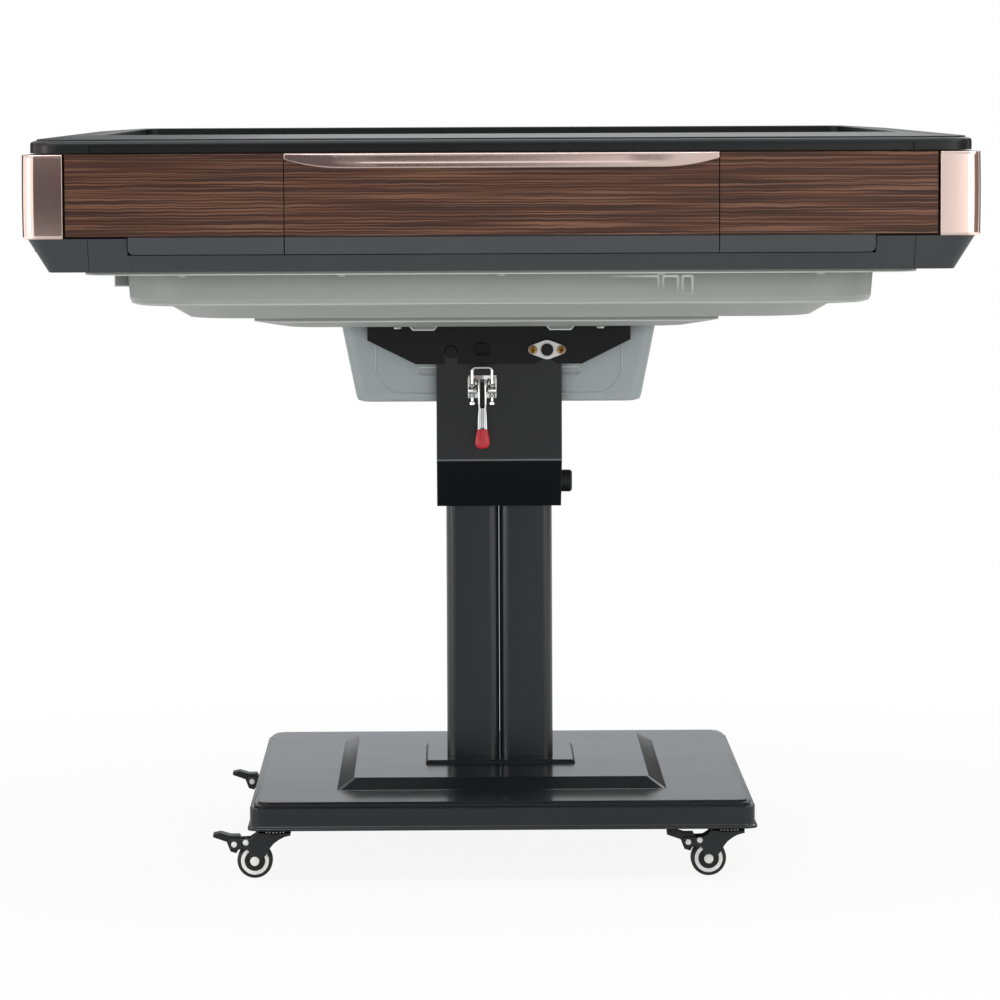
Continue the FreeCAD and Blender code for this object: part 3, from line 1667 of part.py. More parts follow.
def drive_motor():
    """Gear motor under the belly floor, with a bore for the drive shaft."""
    body = rod("z", (-s.motor_offset, 0), s.motor_radius, (belly_z - s.motor_height, belly_z))
    bore = rod(
        "z",
        (-s.motor_offset, 0),
        s.drive_shaft_radius + s.fit_clearance,
        (belly_z - s.drive_shaft_grip - s.running_gap, belly_z),
    )
    return cut(body, bore)


def drive_wheel():
    """Friction wheel inside the driving ring, on its shaft into the motor."""
    top = deck_z - s.running_gap
    wheel_radius = s.drive_ring_radius - s.motor_offset - s.running_gap
    shaft = s.drive_shaft_radius
    return turned_profile([
        (0, belly_z - s.drive_shaft_grip),
        (shaft, belly_z - s.drive_shaft_grip),
        (shaft, top - s.drive_wheel_height),
        (wheel_radius, top - s.drive_wheel_height),
        (wheel_radius, top),
        (0, top),
    ], -s.motor_offset)


def build_pedestal():
    """Everything that stays on the floor."""
    node("base_cover", base_cover())
    node("base_frame", base_frame())
    node("foot_plate", foot_plate())
    node("foot_bolts", *[foot_bolt(x, y) for x in both(bolt_x) for y in both(bolt_y)])
    tube = column_tube()
    node("column_tubes", tube, mirrored(tube, x=1))
    node("fork_sleeve", fork_sleeve())
    node("fork_pins", *fork_pins())
    node("fold_bumper", fold_bumper())
    node("latch_base", latch_base())
    lever = latch_lever()
    node("latch_lever", lever)
    node("latch_grip", latch_grip(lever))
    node("latch_loop", latch_loop())


def build_casters():
    """Four casters, numbered from the front left by rows."""
    stem, fork, wheel, pedal = caster_stem(), caster_fork(), caster_wheel(), caster_pedal()
    places = [(x, y) for y in both(caster_y) for x in both(caster_x)]
    node("caster_stems", *[moved(stem, x, y) for x, y in places])
    for number, (x, y) in enumerate(places, start=1):
        node(f"caster_fork_{number}", moved(fork, x, y))
        node(f"caster_wheel_{number}", moved(wheel, x, y))
        node(f"caster_pedal_{number}", moved(pedal, x, y))


def build_table():
    """The folding table body and what is fixed in it."""
    node("belly_shell", belly_shell())
    node("power_inlet", power_inlet())
    node("motor_housing", motor_housing())
    node("drive_motor", drive_motor())
    node("wing_plates", wing_plate(True), mirrored(wing_plate(False), y=1))
    bearing = pivot_bearing()
    node("pivot_bearings", bearing, mirrored(bearing, y=1))
    screws = bracket_screws()
    node("bracket_screws", *screws, *[mirrored(screw, y=1) for screw in screws])
    node("chassis_frame", chassis_frame())
    node("skirt_frame", *skirt_frame())
    node("corner_posts", *on_four_sides(corner_post()))
    for name, piece in (("side_panels", side_panel()), ("panel_strips", panel_strip())):
        node(name, *on_four_sides(piece), *on_four_sides(mirrored(piece, x=1)))
    node("playfield_board", playfield_board())
    node("playfield_cloth", playfield_cloth())
    node("rim_frame", *rim_frame())
    runner = drawer_runner()
    node("drawer_runners", *on_four_sides(runner), *on_four_sides(mirrored(runner, x=1)))
    node("guide_posts", *guide_posts())


def build_moving_insides():
    """Drawers, lifts, console and shuffling drive."""
    front, pull, tray = drawer_front(), drawer_pull(), drawer_tray()
    for quarters in range(4):
        node(f"drawer_front_{quarters + 1}", quarter_turned(front, quarters))
        node(f"drawer_pull_{quarters + 1}", quarter_turned(pull, quarters))
        node(f"drawer_tray_{quarters + 1}", quarter_turned(tray, quarters))
    node("tile_lifts", tile_lifts())
    node("console_body", console_body())
    node("dice_dome", dice_dome())
    node("console_button", console_button())
    node("turntable", turntable())
    node("drive_wheel", drive_wheel())


def write_parts():
    """Check every object and write one file for each sub-part."""
    doc.recompute()
    broken = [thing.Label for thing in doc.Objects if {"Invalid", "Error"} & set(thing.State)]
    broken += [thing.Label for thing in nodes if thing.Shape.isNull() or not thing.Shape.isValid()]
    if broken:
        raise RuntimeError(f"these did not build: {broken}")
    os.makedirs("parts", exist_ok=True)
    for thing in nodes:
        solids = thing.Shape.Solids
        shape = solids[0] if len(solids) == 1 else Part.makeCompound(solids)
        shape.exportStep(f"parts/{thing.Label}.step")


build_pedestal()
build_casters()
build_table()
build_moving_insides()
write_parts()
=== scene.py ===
"""Looks of a folding mahjong table with drawers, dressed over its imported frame.

Sizes in the classes are millimetres, as on a maker's drawing. Meshes are in metres.
"""

import logging
import math
from dataclasses import dataclass
from enum import Enum
from typing import Any, Optional, Sequence, Union

import bmesh
import bpy
from bpy.types import Material, Mesh, Node, NodeSocket, NodeTree, Object
from mathutils import Matrix, Vector


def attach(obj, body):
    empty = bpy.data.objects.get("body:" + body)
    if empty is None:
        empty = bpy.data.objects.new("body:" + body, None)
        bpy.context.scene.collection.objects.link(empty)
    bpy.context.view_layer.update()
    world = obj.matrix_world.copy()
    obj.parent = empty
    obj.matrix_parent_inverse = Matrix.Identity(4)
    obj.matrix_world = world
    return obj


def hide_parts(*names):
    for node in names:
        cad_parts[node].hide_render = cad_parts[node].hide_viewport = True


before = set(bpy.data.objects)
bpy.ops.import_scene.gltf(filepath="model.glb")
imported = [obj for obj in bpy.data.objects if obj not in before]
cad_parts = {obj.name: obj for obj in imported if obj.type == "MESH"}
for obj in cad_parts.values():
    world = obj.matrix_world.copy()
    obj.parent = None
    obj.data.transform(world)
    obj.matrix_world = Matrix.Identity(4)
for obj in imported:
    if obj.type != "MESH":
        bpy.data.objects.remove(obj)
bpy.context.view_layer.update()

MM = 0.001
QUARTER = math.pi / 2
SIDES = (-1, 1)
UP = Vector((0, 0, 1))
LOG = logging.getLogger("mahjong_table")
Point = Sequence[float]
Colour = tuple[float, float, float, float]
Tone = Union[NodeSocket, Colour]


class Axis(Enum):
    """Direction that a turned form runs along, as the order that its own axes are taken in."""

    X = (2, 0, 1)
    Y = (1, 2, 0)
    Z = (0, 1, 2)


class Facing(Enum):
    """Where the head of a fastener looks, as Euler angles of its own upward axis."""

    FRONT = (QUARTER, 0.0, 0.0)
    BACK = (-QUARTER, 0.0, 0.0)
    DOWN = (math.pi, 0.0, 0.0)


def linear(colour: str) -> Colour:
    """Turn an sRGB hex colour into linear light.

    Args:
        colour: Text such as "#5c3c2e".

    Returns:
        Linear red, green, blue and an alpha of one.
    """
    parts = [int(colour[start:start + 2], 16) / 255 for start in (1, 3, 5)]
    light = [part / 12.92 if part <= 0.04045 else ((part + 0.055) / 1.055) ** 2.4 for part in parts]
    return (light[0], light[1], light[2], 1.0)


def scaled(colour: str, share: float) -> Colour:
    """Turn a hex colour into linear light and make it darker or lighter.

    Args:
        colour: Text such as "#5c3c2e".
        share: What its light is multiplied by.

    Returns:
        Linear red, green, blue and an alpha of one.
    """
    red, green, blue = [min(part * share, 1.0) for part in linear(colour)[:3]]
    return (red, green, blue, 1.0)


def per_metre(size_mm: float) -> float:
    """Texture scale whose features are about this many millimetres apart."""
    return 1.0 / (size_mm * MM)


def add_object(name: str, data: Any) -> Object:
    """Put an object into the scene, at the origin.

    Args:
        name: The object's name.
        data: Its mesh, lamp or camera.

    Returns:
        The object.
    """
    made = bpy.data.objects.new(name, data)
    bpy.context.scene.collection.objects.link(made)
    return made


def bare_material(name: str) -> Material:
    """Make a material whose node tree is empty.

    Args:
        name: The material's name.

    Returns:
        The material.
    """
    made = bpy.data.materials.new(name)
    made.use_nodes = True
    made.node_tree.nodes.clear()
    return made


def add_node(tree: NodeTree, kind: str, inputs: Optional[dict] = None, **settings: Any) -> Node:
    """Add a node with its settings, values and links.

    Args:
        tree: The tree that gets the node.
        kind: Blender's name of the node type.
        inputs: Values, or output sockets to link, by socket name or number.
        **settings: Properties of the node itself.

    Returns:
        The new node.
    """
    made = tree.nodes.new(kind)
    for name, value in settings.items():
        setattr(made, name, value)
    for name, value in (inputs or {}).items():
        if isinstance(value, NodeSocket):
            tree.links.new(value, made.inputs[name])
        else:
            made.inputs[name].default_value = value
    return made


@dataclass(frozen=True)
class Surface:
    """A material in the making: its node tree, its shader, and the object's own coordinates."""

    tree: NodeTree
    shader: Node
    spot: NodeSocket

    def noise(self, size_mm: float, detail: float, roughness: float = 0.5) -> NodeSocket:
        """Add noise whose features have a real size.

        Args:
            size_mm: Size of its features.
            detail: Number of finer layers.
            roughness: Weight of those layers.

        Returns:
            The noise, from zero to one.
        """
        return add_node(self.tree, "ShaderNodeTexNoise", {
            "Vector": self.spot, "Scale": per_metre(size_mm), "Detail": detail, "Roughness": roughness,
        }).outputs["Fac"]

    def streaks(self, spot: NodeSocket, size_mm: Point, detail: float, distortion: float = 0.0) -> NodeSocket:
        """Add noise that is drawn out along the axes.

        Args:
            spot: Coordinates to draw it at.
            size_mm: Size of its features along each axis.
            detail: Number of finer layers.
            distortion: How far its features are bent.

        Returns:
            The noise, from zero to one.
        """
        stretch = add_node(self.tree, "ShaderNodeMapping", {
            "Vector": spot, "Scale": [per_metre(size) for size in size_mm],
        })
        return add_node(self.tree, "ShaderNodeTexNoise", {
            "Vector": stretch.outputs["Vector"], "Scale": 1.0, "Detail": detail, "Distortion": distortion,
        }).outputs["Fac"]

    def spread(
        self, value: NodeSocket, low: float, high: float, start: float = 0.0, end: float = 1.0
    ) -> NodeSocket:
        """Map one range of values onto another.

        Args:
            value: The value to map.
            low: What the start becomes.
            high: What the end becomes.
            start: Start of the value's range.
            end: End of the value's range.

        Returns:
            The mapped value.
        """
        return add_node(self.tree, "ShaderNodeMapRange", {
            "Value": value, "From Min": start, "From Max": end, "To Min": low, "To Max": high,
        }).outputs["Result"]

    def mean(self, share: float, first: NodeSocket, second: NodeSocket) -> NodeSocket:
        """Mix two values. The numbers are those of the Mix node's sockets for values.

        Args:
            share: Share of the second value.
            first: One value.
            second: The other value.

        Returns:
            The mixed value.
        """
        return add_node(self.tree, "ShaderNodeMix", {0: share, 2: first, 3: second}, data_type="FLOAT").outputs[0]

    def blend(self, share: NodeSocket, first: Tone, second: Tone) -> NodeSocket:
        """Mix two colours. The numbers are those of the Mix node's sockets for colours.

        Args:
            share: Share of the second colour.
            first: One colour.
            second: The other colour.

        Returns:
            The mixed colour.
        """
        return add_node(self.tree, "ShaderNodeMix", {0: share, 6: first, 7: second}, data_type="RGBA").outputs[2]

    def hollows(self, reach_mm: float, span: Point, shade: Colour, tone: Tone, samples: int) -> NodeSocket:
        """Darken the corners and hollows that little light gets into.

        Args:
            reach_mm: How far away a wall still darkens.
            span: Open shares where the shade ends and where the plain tone begins.
            shade: Colour in the hollows.
            tone: Colour elsewhere.
            samples: Rays for each look round.

        Returns:
            The colour with its hollows.
        """
        around = add_node(self.tree, "ShaderNodeAmbientOcclusion", {"Distance": reach_mm * MM}, samples=samples)
        return self.blend(self.spread(around.outputs["AO"], 0.0, 1.0, *span), shade, tone)

    def feed(self, name: str, value: NodeSocket) -> None:
        """Link a value to the shader's input of that name."""
        self.tree.links.new(value, self.shader.inputs[name])


@dataclass(frozen=True)
class Finish:
    """What all finishes share: a colour, a gloss, and edges that are slightly broken."""

    name: str
    colour: str
    roughness: float
    metallic: float = 0.0
    edge_mm: float = 0.6
    relief_mm: float = 0.02
    specular: float = 0.5
    uneven: float = 0.05
    edge_samples: int = 6

    def material(self) -> Material:
        """Make the finish as a material the first time it is asked for.

        Returns:
            The material.
        """
        known = bpy.data.materials.get(self.name)
        if known:
            return known
        made = bare_material(self.name)
        tree = made.node_tree
        shader = add_node(tree, "ShaderNodeBsdfPrincipled", {
            "Base Color": linear(self.colour), "Roughness": self.roughness, "Metallic": self.metallic,
            "Specular IOR Level": self.specular,
        })
        surface = Surface(tree, shader, add_node(tree, "ShaderNodeTexCoord").outputs["Object"])
        height = self.pattern(surface)
        edge = add_node(tree, "ShaderNodeBevel", {"Radius": self.edge_mm * MM}, samples=self.edge_samples)
        relief = add_node(tree, "ShaderNodeBump", {
            "Height": height, "Distance": self.relief_mm * MM, "Normal": edge.outputs["Normal"],
        })
        surface.feed("Normal", relief.outputs["Normal"])
        add_node(tree, "ShaderNodeOutputMaterial", {"Surface": shader.outputs["BSDF"]})
        return made

    def pattern(self, surface: Surface) -> NodeSocket:
        """Add what varies over the surface.

        Args:
            surface: The material in the making.

        Returns:
            A height for the bump.
        """
        raise NotImplementedError

    def vary_gloss(self, surface: Surface, value: NodeSocket) -> None:
        """Let a value from zero to one make the surface smoother or rougher."""
        surface.feed("Roughness", surface.spread(value, self.roughness - self.uneven, self.roughness + self.uneven))


@dataclass(frozen=True)
class MouldedPlastic(Finish):
    """Plastic from a spark-eroded mould: a fine even grain that scatters the highlights.

    The real grain is about 0.1 mm, so it is drawn coarser to show.
    """

    grain_mm: float = 0.9
    drift_mm: float = 90.0
    tint: float = 0.06
    # Painted shade: how near a wall must be to darken the colour, and how dark it gets.
    painted_shade_mm: float = 0.0
    painted_shade_share: float = 0.5
    # Painted highlight: width of the pale line along the edges, and its colour.
    painted_highlight_mm: float = 0.0
    painted_highlight_colour: str = "#eef2ee"

    def pattern(self, surface: Surface) -> NodeSocket:
        """Add grain, slow drifts of colour and gloss, painted shade in the corners and a painted highlight along the
        edges.

        Args:
            surface: The material in the making.

        Returns:
            The grain's height.
        """
        tree = surface.tree
        drift = surface.noise(self.drift_mm, 2.0)
        tone = surface.blend(drift, scaled(self.colour, 1 - self.tint), scaled(self.colour, 1 + self.tint))
        # Painted shade, darker where a wall is near, as under the skirt's flange.
        if self.painted_shade_mm:
            painted_shade_tone = scaled(self.colour, self.painted_shade_share)
            tone = surface.hollows(self.painted_shade_mm, (0.5, 0.95), painted_shade_tone, tone, samples=8)
        # Painted highlight, a pale line where the surface turns at an edge.
        if self.painted_highlight_mm:
            rounded = add_node(tree, "ShaderNodeBevel", {"Radius": self.painted_highlight_mm * MM}, samples=8)
            turned = add_node(tree, "ShaderNodeVectorMath", {
                0: rounded.outputs["Normal"], 1: add_node(tree, "ShaderNodeNewGeometry").outputs["Normal"],
            }, operation="DOT_PRODUCT")
            painted_highlight_share = surface.spread(turned.outputs["Value"], 0.0, 1.0, 0.995, 0.9)
            tone = surface.blend(painted_highlight_share, tone, linear(self.painted_highlight_colour))
        surface.feed("Base Color", tone)
        self.vary_gloss(surface, drift)
        return surface.noise(self.grain_mm, 2.0)


@dataclass(frozen=True)
class WoodGrain(Finish):
    """Straight-grained wood: long fine streaks that waver and run level round the table."""

    dark: str = "#331d11"
    light: str = "#583726"
    pale: str = "#755340"
    streak_mm: float = 1.4
    run_mm: float = 170.0
    waver_mm: float = 2.0
    waver_step_mm: float = 22.0
    band_share: float = 0.1

    def pattern(self, surface: Surface) -> NodeSocket:
        """Add fine streaks over slow bands, coloured from pore to pale.

        Args:
            surface: The material in the making.

        Returns:
            The streaks' height.
        """
        waver = add_node(surface.tree, "ShaderNodeTexNoise", {
            "Vector": surface.spot, "Scale": per_metre(self.waver_step_mm), "Detail": 1.0,
        })
        bent = add_node(surface.tree, "ShaderNodeVectorMath", {
            0: waver.outputs["Color"], 1: (0.0, 0.0, self.waver_mm * MM), 2: surface.spot,
        }, operation="MULTIPLY_ADD")
        fine, slow = [
            surface.streaks(bent.outputs["Vector"], (run, run, wide), 0.6, 0.1)
            for wide, run in ((self.streak_mm, self.run_mm), (self.streak_mm * 5, self.run_mm * 2))
        ]
        both = surface.mean(self.band_share, fine, slow)
        ramp = add_node(surface.tree, "ShaderNodeValToRGB", {"Fac": both})
        stops = ramp.color_ramp.elements
        stops[0].position, stops[0].color = 0.36, linear(self.dark)
        stops[1].position, stops[1].color = 0.66, linear(self.pale)
        for position, colour in ((0.46, self.colour), (0.54, self.light)):
            stops.new(position).color = linear(colour)
        surface.feed("Base Color", ramp.outputs["Color"])
        surface.feed("Roughness", surface.spread(both, self.roughness + 0.08, self.roughness - 0.04, 0.3, 0.7))
        return both


@dataclass(frozen=True)
class PaintedSteel(Finish):
    """Coat on steel: a low orange peel under a satin gloss."""

    peel_mm: float = 2.2
    drift_mm: float = 60.0
    uneven: float = 0.06

    def pattern(self, surface: Surface) -> NodeSocket:
        """Add the peel and a slow drift of gloss.

        Args:
            surface: The material in the making.

        Returns:
            The peel's height.
        """
        self.vary_gloss(surface, surface.noise(self.drift_mm, 3.0))
        return surface.noise(self.peel_mm, 1.0)


@dataclass(frozen=True)
class Metal(Finish):
    """Plated or anodised metal: fine polishing lines, and painted shade that darkens its hollows."""

    lines_mm: float = 0.5
    along_mm: float = 40.0
    # Painted shade: how near a wall must be to darken the colour, and how dark it gets.
    painted_shade_mm: float = 2.5
    painted_shade_share: float = 0.12

    def pattern(self, surface: Surface) -> NodeSocket:
        """Add polishing lines that run up the piece, in gloss and bump, and painted shade in the hollows.

        Args:
            surface: The material in the making.

        Returns:
            The lines' height.
        """
        # Painted shade, darker where a wall is near, as in screw recesses and nuts.
        shade = scaled(self.colour, self.painted_shade_share)
        tone = surface.hollows(self.painted_shade_mm, (0.35, 0.9), shade, linear(self.colour), samples=6)
        surface.feed("Base Color", tone)
        lines = surface.streaks(surface.spot, (self.lines_mm, self.lines_mm, self.along_mm), 2.0)
        self.vary_gloss(surface, lines)
        return lines


@dataclass(frozen=True)
class NappedCloth(Finish):
    """Short-napped woven playing cloth: mottled pile with a faint sheen.

    Its yarns are about 0.5 mm apart and are drawn coarser to show.
    """

    yarn_mm: float = 1.6
    brushed_mm: float = 110.0
    shade: str = "#0c3d2e"
    sheen: float = 0.35
    sheen_roughness: float = 0.5

    def pattern(self, surface: Surface) -> NodeSocket:
        """Add the pile, with yarn-sized and hand-sized mottling.

        Args:
            surface: The material in the making.

        Returns:
            The pile's height.
        """
        pile = surface.noise(self.yarn_mm, 4.0, 0.7)
        both = surface.mean(0.4, pile, surface.noise(self.brushed_mm, 3.0))
        mottle = surface.spread(both, 0.0, 1.0, 0.32, 0.68)
        surface.feed("Base Color", surface.blend(mottle, linear(self.shade), linear(self.colour)))
        surface.shader.inputs["Sheen Weight"].default_value = self.sheen
        surface.shader.inputs["Sheen Roughness"].default_value = self.sheen_roughness
        return pile


@dataclass(frozen=True)
class ClearPlastic(Finish):
    """Polished clear polycarbonate, which lets the light through and bends it."""

    bending: float = 1.58
    wave_mm: float = 14.0

    def pattern(self, surface: Surface) -> NodeSocket:
        """Let the light through a barely wavy moulded surface.

        Args:
            surface: The material in the making.

        Returns:
            The waves' height.
        """
        surface.shader.inputs["Transmission Weight"].default_value = 1.0
        surface.shader.inputs["IOR"].default_value = self.bending
        return surface.noise(self.wave_mm, 1.0)


# Fine moulded grain: the rim shows a quiet dark mirror, and the skirt reads as flat soft charcoal.
RIM_ABS = MouldedPlastic("ABS moulded black", "#151718", 0.3, edge_mm=0.5, relief_mm=0.012, specular=0.34)
SKIRT_ABS = MouldedPlastic("ABS moulded charcoal", "#37393c", 0.48, edge_mm=0.8, relief_mm=0.03)
# Thick pressings with big rounds: painted shade darkens the corners, and a painted highlight draws a pale line along
# the edges.
BELLY_ABS = MouldedPlastic(
    "ABS moulded grey green", "#a4a8a2", 0.36, edge_mm=4.0, tint=0.02, painted_shade_mm=28.0, painted_highlight_mm=3.0
)
BOX_ABS = MouldedPlastic(
    "ABS moulded light grey", "#acb4b6", 0.38, edge_mm=3.0, tint=0.02, painted_shade_mm=20.0, painted_highlight_mm=1.2
)
# Plain inner mouldings look matt. The polished ones show clear small highlights.
INNER_ABS = MouldedPlastic("ABS moulded ivory", "#cfc9b8", 0.5)
CONSOLE_ABS = MouldedPlastic("ABS polished black", "#141516", 0.18, relief_mm=0.005)
BUTTON_ABS = MouldedPlastic("ABS polished red", "#b5352f", 0.25, relief_mm=0.005)
# Nylon looks waxy: a broad highlight on black pedals and white caps.
PEDAL_ABS = MouldedPlastic("nylon moulded black", "#121314", 0.36)
CAP_NYLON = MouldedPlastic("nylon moulded white", "#fbfbf9", 0.36, edge_mm=0.3, tint=0.01)
# Dipped vinyl is wet-looking and soft at its edges. Rubbers swallow the light.
RED_VINYL = MouldedPlastic("vinyl dipped red", "#cc2732", 0.28, edge_mm=0.5, relief_mm=0.01)
BLACK_RUBBER = MouldedPlastic("rubber moulded black", "#151617", 0.55, grain_mm=1.4)
TYRE_RUBBER = MouldedPlastic("polyurethane cast black", "#121314", 0.45)
# Lacquered veneer shows warm streaks under a satin film. Board stays matt, and the pine frame is coloured near black,
# so the gaps in front of it read dark.
WALNUT = WoodGrain("walnut veneer lacquered", "#44271a", 0.3, edge_mm=0.5, relief_mm=0.02, specular=0.35)
BOARD = WoodGrain(
    "fibreboard pressed", "#9c8159", 0.7, dark="#86704c", light="#a88c64", pale="#b59a73", streak_mm=9.0
)
TIMBER = WoodGrain(
    "pine stained dark", "#1d1613", 0.65, dark="#15100e", light="#241b17", pale="#2c221d", streak_mm=7.0
)
# Anodised aluminium gives soft pink mirrors with broken edges, and a little painted shade in its hollows.
ROSE_METAL = Metal(
    "aluminium anodised rose gold", "#e9d2c9", 0.14, 1.0, edge_mm=1.0, relief_mm=0.0006, along_mm=0.6, painted_shade_mm=0.5
)
# Plated steel runs from cloudy zinc to bright chrome. Castings and blackened steel are greyer and duller. All metals
# get painted shade in their hollows.
ZINC = Metal("steel zinc plated", "#d5d6d4", 0.32, 1.0, edge_mm=0.4, relief_mm=0.004)
YELLOW_ZINC = Metal("steel yellow zinc plated", "#d0a35c", 0.3, 1.0, edge_mm=0.3, relief_mm=0.004)
CHROME = Metal("steel chrome plated", "#f4f5f5", 0.1, 1.0, edge_mm=0.4, relief_mm=0.002)
DIE_CAST = Metal("zinc alloy die cast", "#e4e4e1", 0.5, 0.4, edge_mm=0.5, relief_mm=0.004)
DARK_STEEL = Metal("steel blackened", "#17181a", 0.42, 0.5, edge_mm=0.4, relief_mm=0.004)
# Stove enamel is smooth and mirrors the studio. Powder coat breaks that mirror with its peel.
COLUMN_COAT = PaintedSteel("steel enamelled black", "#202326", 0.2, edge_mm=0.4, relief_mm=0.002, uneven=0.02)
BASE_COAT = PaintedSteel("steel enamelled dark grey", "#191b1e", 0.2, edge_mm=0.3, relief_mm=0.002, uneven=0.02)
BLACK_COAT = PaintedSteel("steel powder coated black", "#1b1d20", 0.3, edge_mm=2.2, relief_mm=0.012)
# Bracket plates are coloured darker than the black cheek as painted shade from the table top above them, the grey rods
# on the sleeve's bends are a painted highlight, and motor paint is flat.
SHADED_BRACKET_COAT = PaintedSteel("steel phosphated black", "#121314", 0.4, edge_mm=1.2, relief_mm=0.01, specular=0.25)
# Painted highlight: a lighter grey coat for the rods along the sleeve's bends.
BEND_HIGHLIGHT_COAT = PaintedSteel("steel powder coat rubbed at a bend", "#6a6e70", 0.35, edge_mm=0.3, relief_mm=0.004)
MOTOR_COAT = PaintedSteel("steel painted grey", "#4a4c50", 0.5)
# Napped wool drinks the light and glows faintly at a low angle. The moulded dome is a small clear lens.
CLOTH = NappedCloth("wool cloth napped deep green", "#14573f", 0.9, relief_mm=0.25)
DOME_CLEAR = ClearPlastic("polycarbonate moulded clear", "#f4f8f8", 0.04, relief_mm=0.01)


def numbered(name: str) -> list[str]:
    """Names of the four like nodes round the table."""
    return [f"{name}_{number}" for number in range(1, 5)]


# Frame nodes that keep their own shape, by the finish they get.
DRESSED = (
    (SKIRT_ABS, ["skirt_frame", "panel_strips", *numbered("drawer_tray")]),
    (WALNUT, ["side_panels", *numbered("drawer_front")]),
    (TIMBER, ["chassis_frame", "drawer_runners"]),
    (BOARD, ["playfield_board"]),
    (INNER_ABS, ["tile_lifts", "turntable"]),
    (CONSOLE_ABS, ["console_body"]),
    (DOME_CLEAR, ["dice_dome"]),
    (BUTTON_ABS, ["console_button"]),
    (BELLY_ABS, ["belly_shell", "power_inlet"]),
    (BOX_ABS, ["motor_housing"]),
    (MOTOR_COAT, ["drive_motor"]),
    # The bracket plates get a coat darkened as painted shade.
    (SHADED_BRACKET_COAT, ["wing_plates"]),
    (DIE_CAST, ["pivot_bearings"]),
    (DARK_STEEL, ["fork_pins", "foot_bolts", "caster_stems"]),
    (BLACK_COAT, ["fork_sleeve", "base_frame"]),
    (BASE_COAT, ["foot_plate"]),
    (BLACK_RUBBER, ["fold_bumper", "drive_wheel"]),
    (PEDAL_ABS, numbered("caster_pedal")),
    (ZINC, ["guide_posts"]),
)


def dress_nodes() -> None:
    """Give the frame's own nodes their finishes."""
    for finish, names in DRESSED:
        for name in names:
            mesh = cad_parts[name].data
            mesh.materials.clear()
            mesh.materials.append(finish.material())
            LOG.info("node %s in %s", name, finish.name)


def add_piece(
    name: str, mesh: Mesh, body: str, finish: Finish, replaces: Sequence[str] = (),
    crease_deg: float = 38.0,
) -> Object:
    """Put a finished mesh into the scene on the body that carries it.

    Args:
        name: The piece's name.
        mesh: Its mesh, in place.
        body: The body that it moves with.
        finish: Its surface.
        replaces: Frame nodes that it stands for.
        crease_deg: Edges that turn more than this stay sharp.

    Returns:
        The new object.
    """
    made = add_object(name, mesh)
    mesh.materials.clear()
    mesh.materials.append(finish.material())
    mesh.shade_smooth()
    mesh.set_sharp_from_angle(angle=math.radians(crease_deg))
    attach(made, body)
    if replaces:
        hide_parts(*replaces)
    LOG.info("piece %s on %s, %d faces", name, body, len(mesh.polygons))
    return made


def rounded_ring(half_x: float, half_y: float, corner: float, level: float, steps: int = 8) -> list[Point]:
    """A level ring with rounded corners.

    Args:
        half_x: Half its width.
        half_y: Half its depth.
        corner: Radius of its corners.
        level: Its height.
        steps: Number of flats in each corner.

    Returns:
        Points round the ring.
    """
    ring = []
    for quarter, (side_x, side_y) in enumerate(((1, 1), (-1, 1), (-1, -1), (1, -1))):
        for step in range(steps + 1):
            angle = QUARTER * (quarter + step / steps)
            ring.append((
                side_x * (half_x - corner) + corner * math.cos(angle),
                side_y * (half_y - corner) + corner * math.sin(angle), level,
            ))
    return ring


def corner_arc(middle: float, radius: float, steps: int) -> list[Point]:
    """Plan of the round corner at the front right, from the front face to the side face.

    Args:
        middle: Distance of the arc's centre from the table's middle, both ways.
        radius: The arc's radius.
        steps: Number of flats in it.

    Returns:
        Points along the arc.
    """
    angles = [QUARTER * step / steps for step in range(steps + 1)]
    return [(middle + radius * math.sin(angle), -(middle + radius * math.cos(angle))) for angle in angles]


def mirrored(profile: Sequence[Point]) -> list[Point]:
    """Both halves of a profile of (radius, height) points, given the half below zero."""
    return [*profile, *[(wide, -along) for wide, along in profile[::-1]]]


def quarter_turn(number: int, size: int = 3) -> Matrix:
    """Turn about the table's middle that takes the front side to another side."""
    return Matrix.Rotation(QUARTER * number, size, "Z")


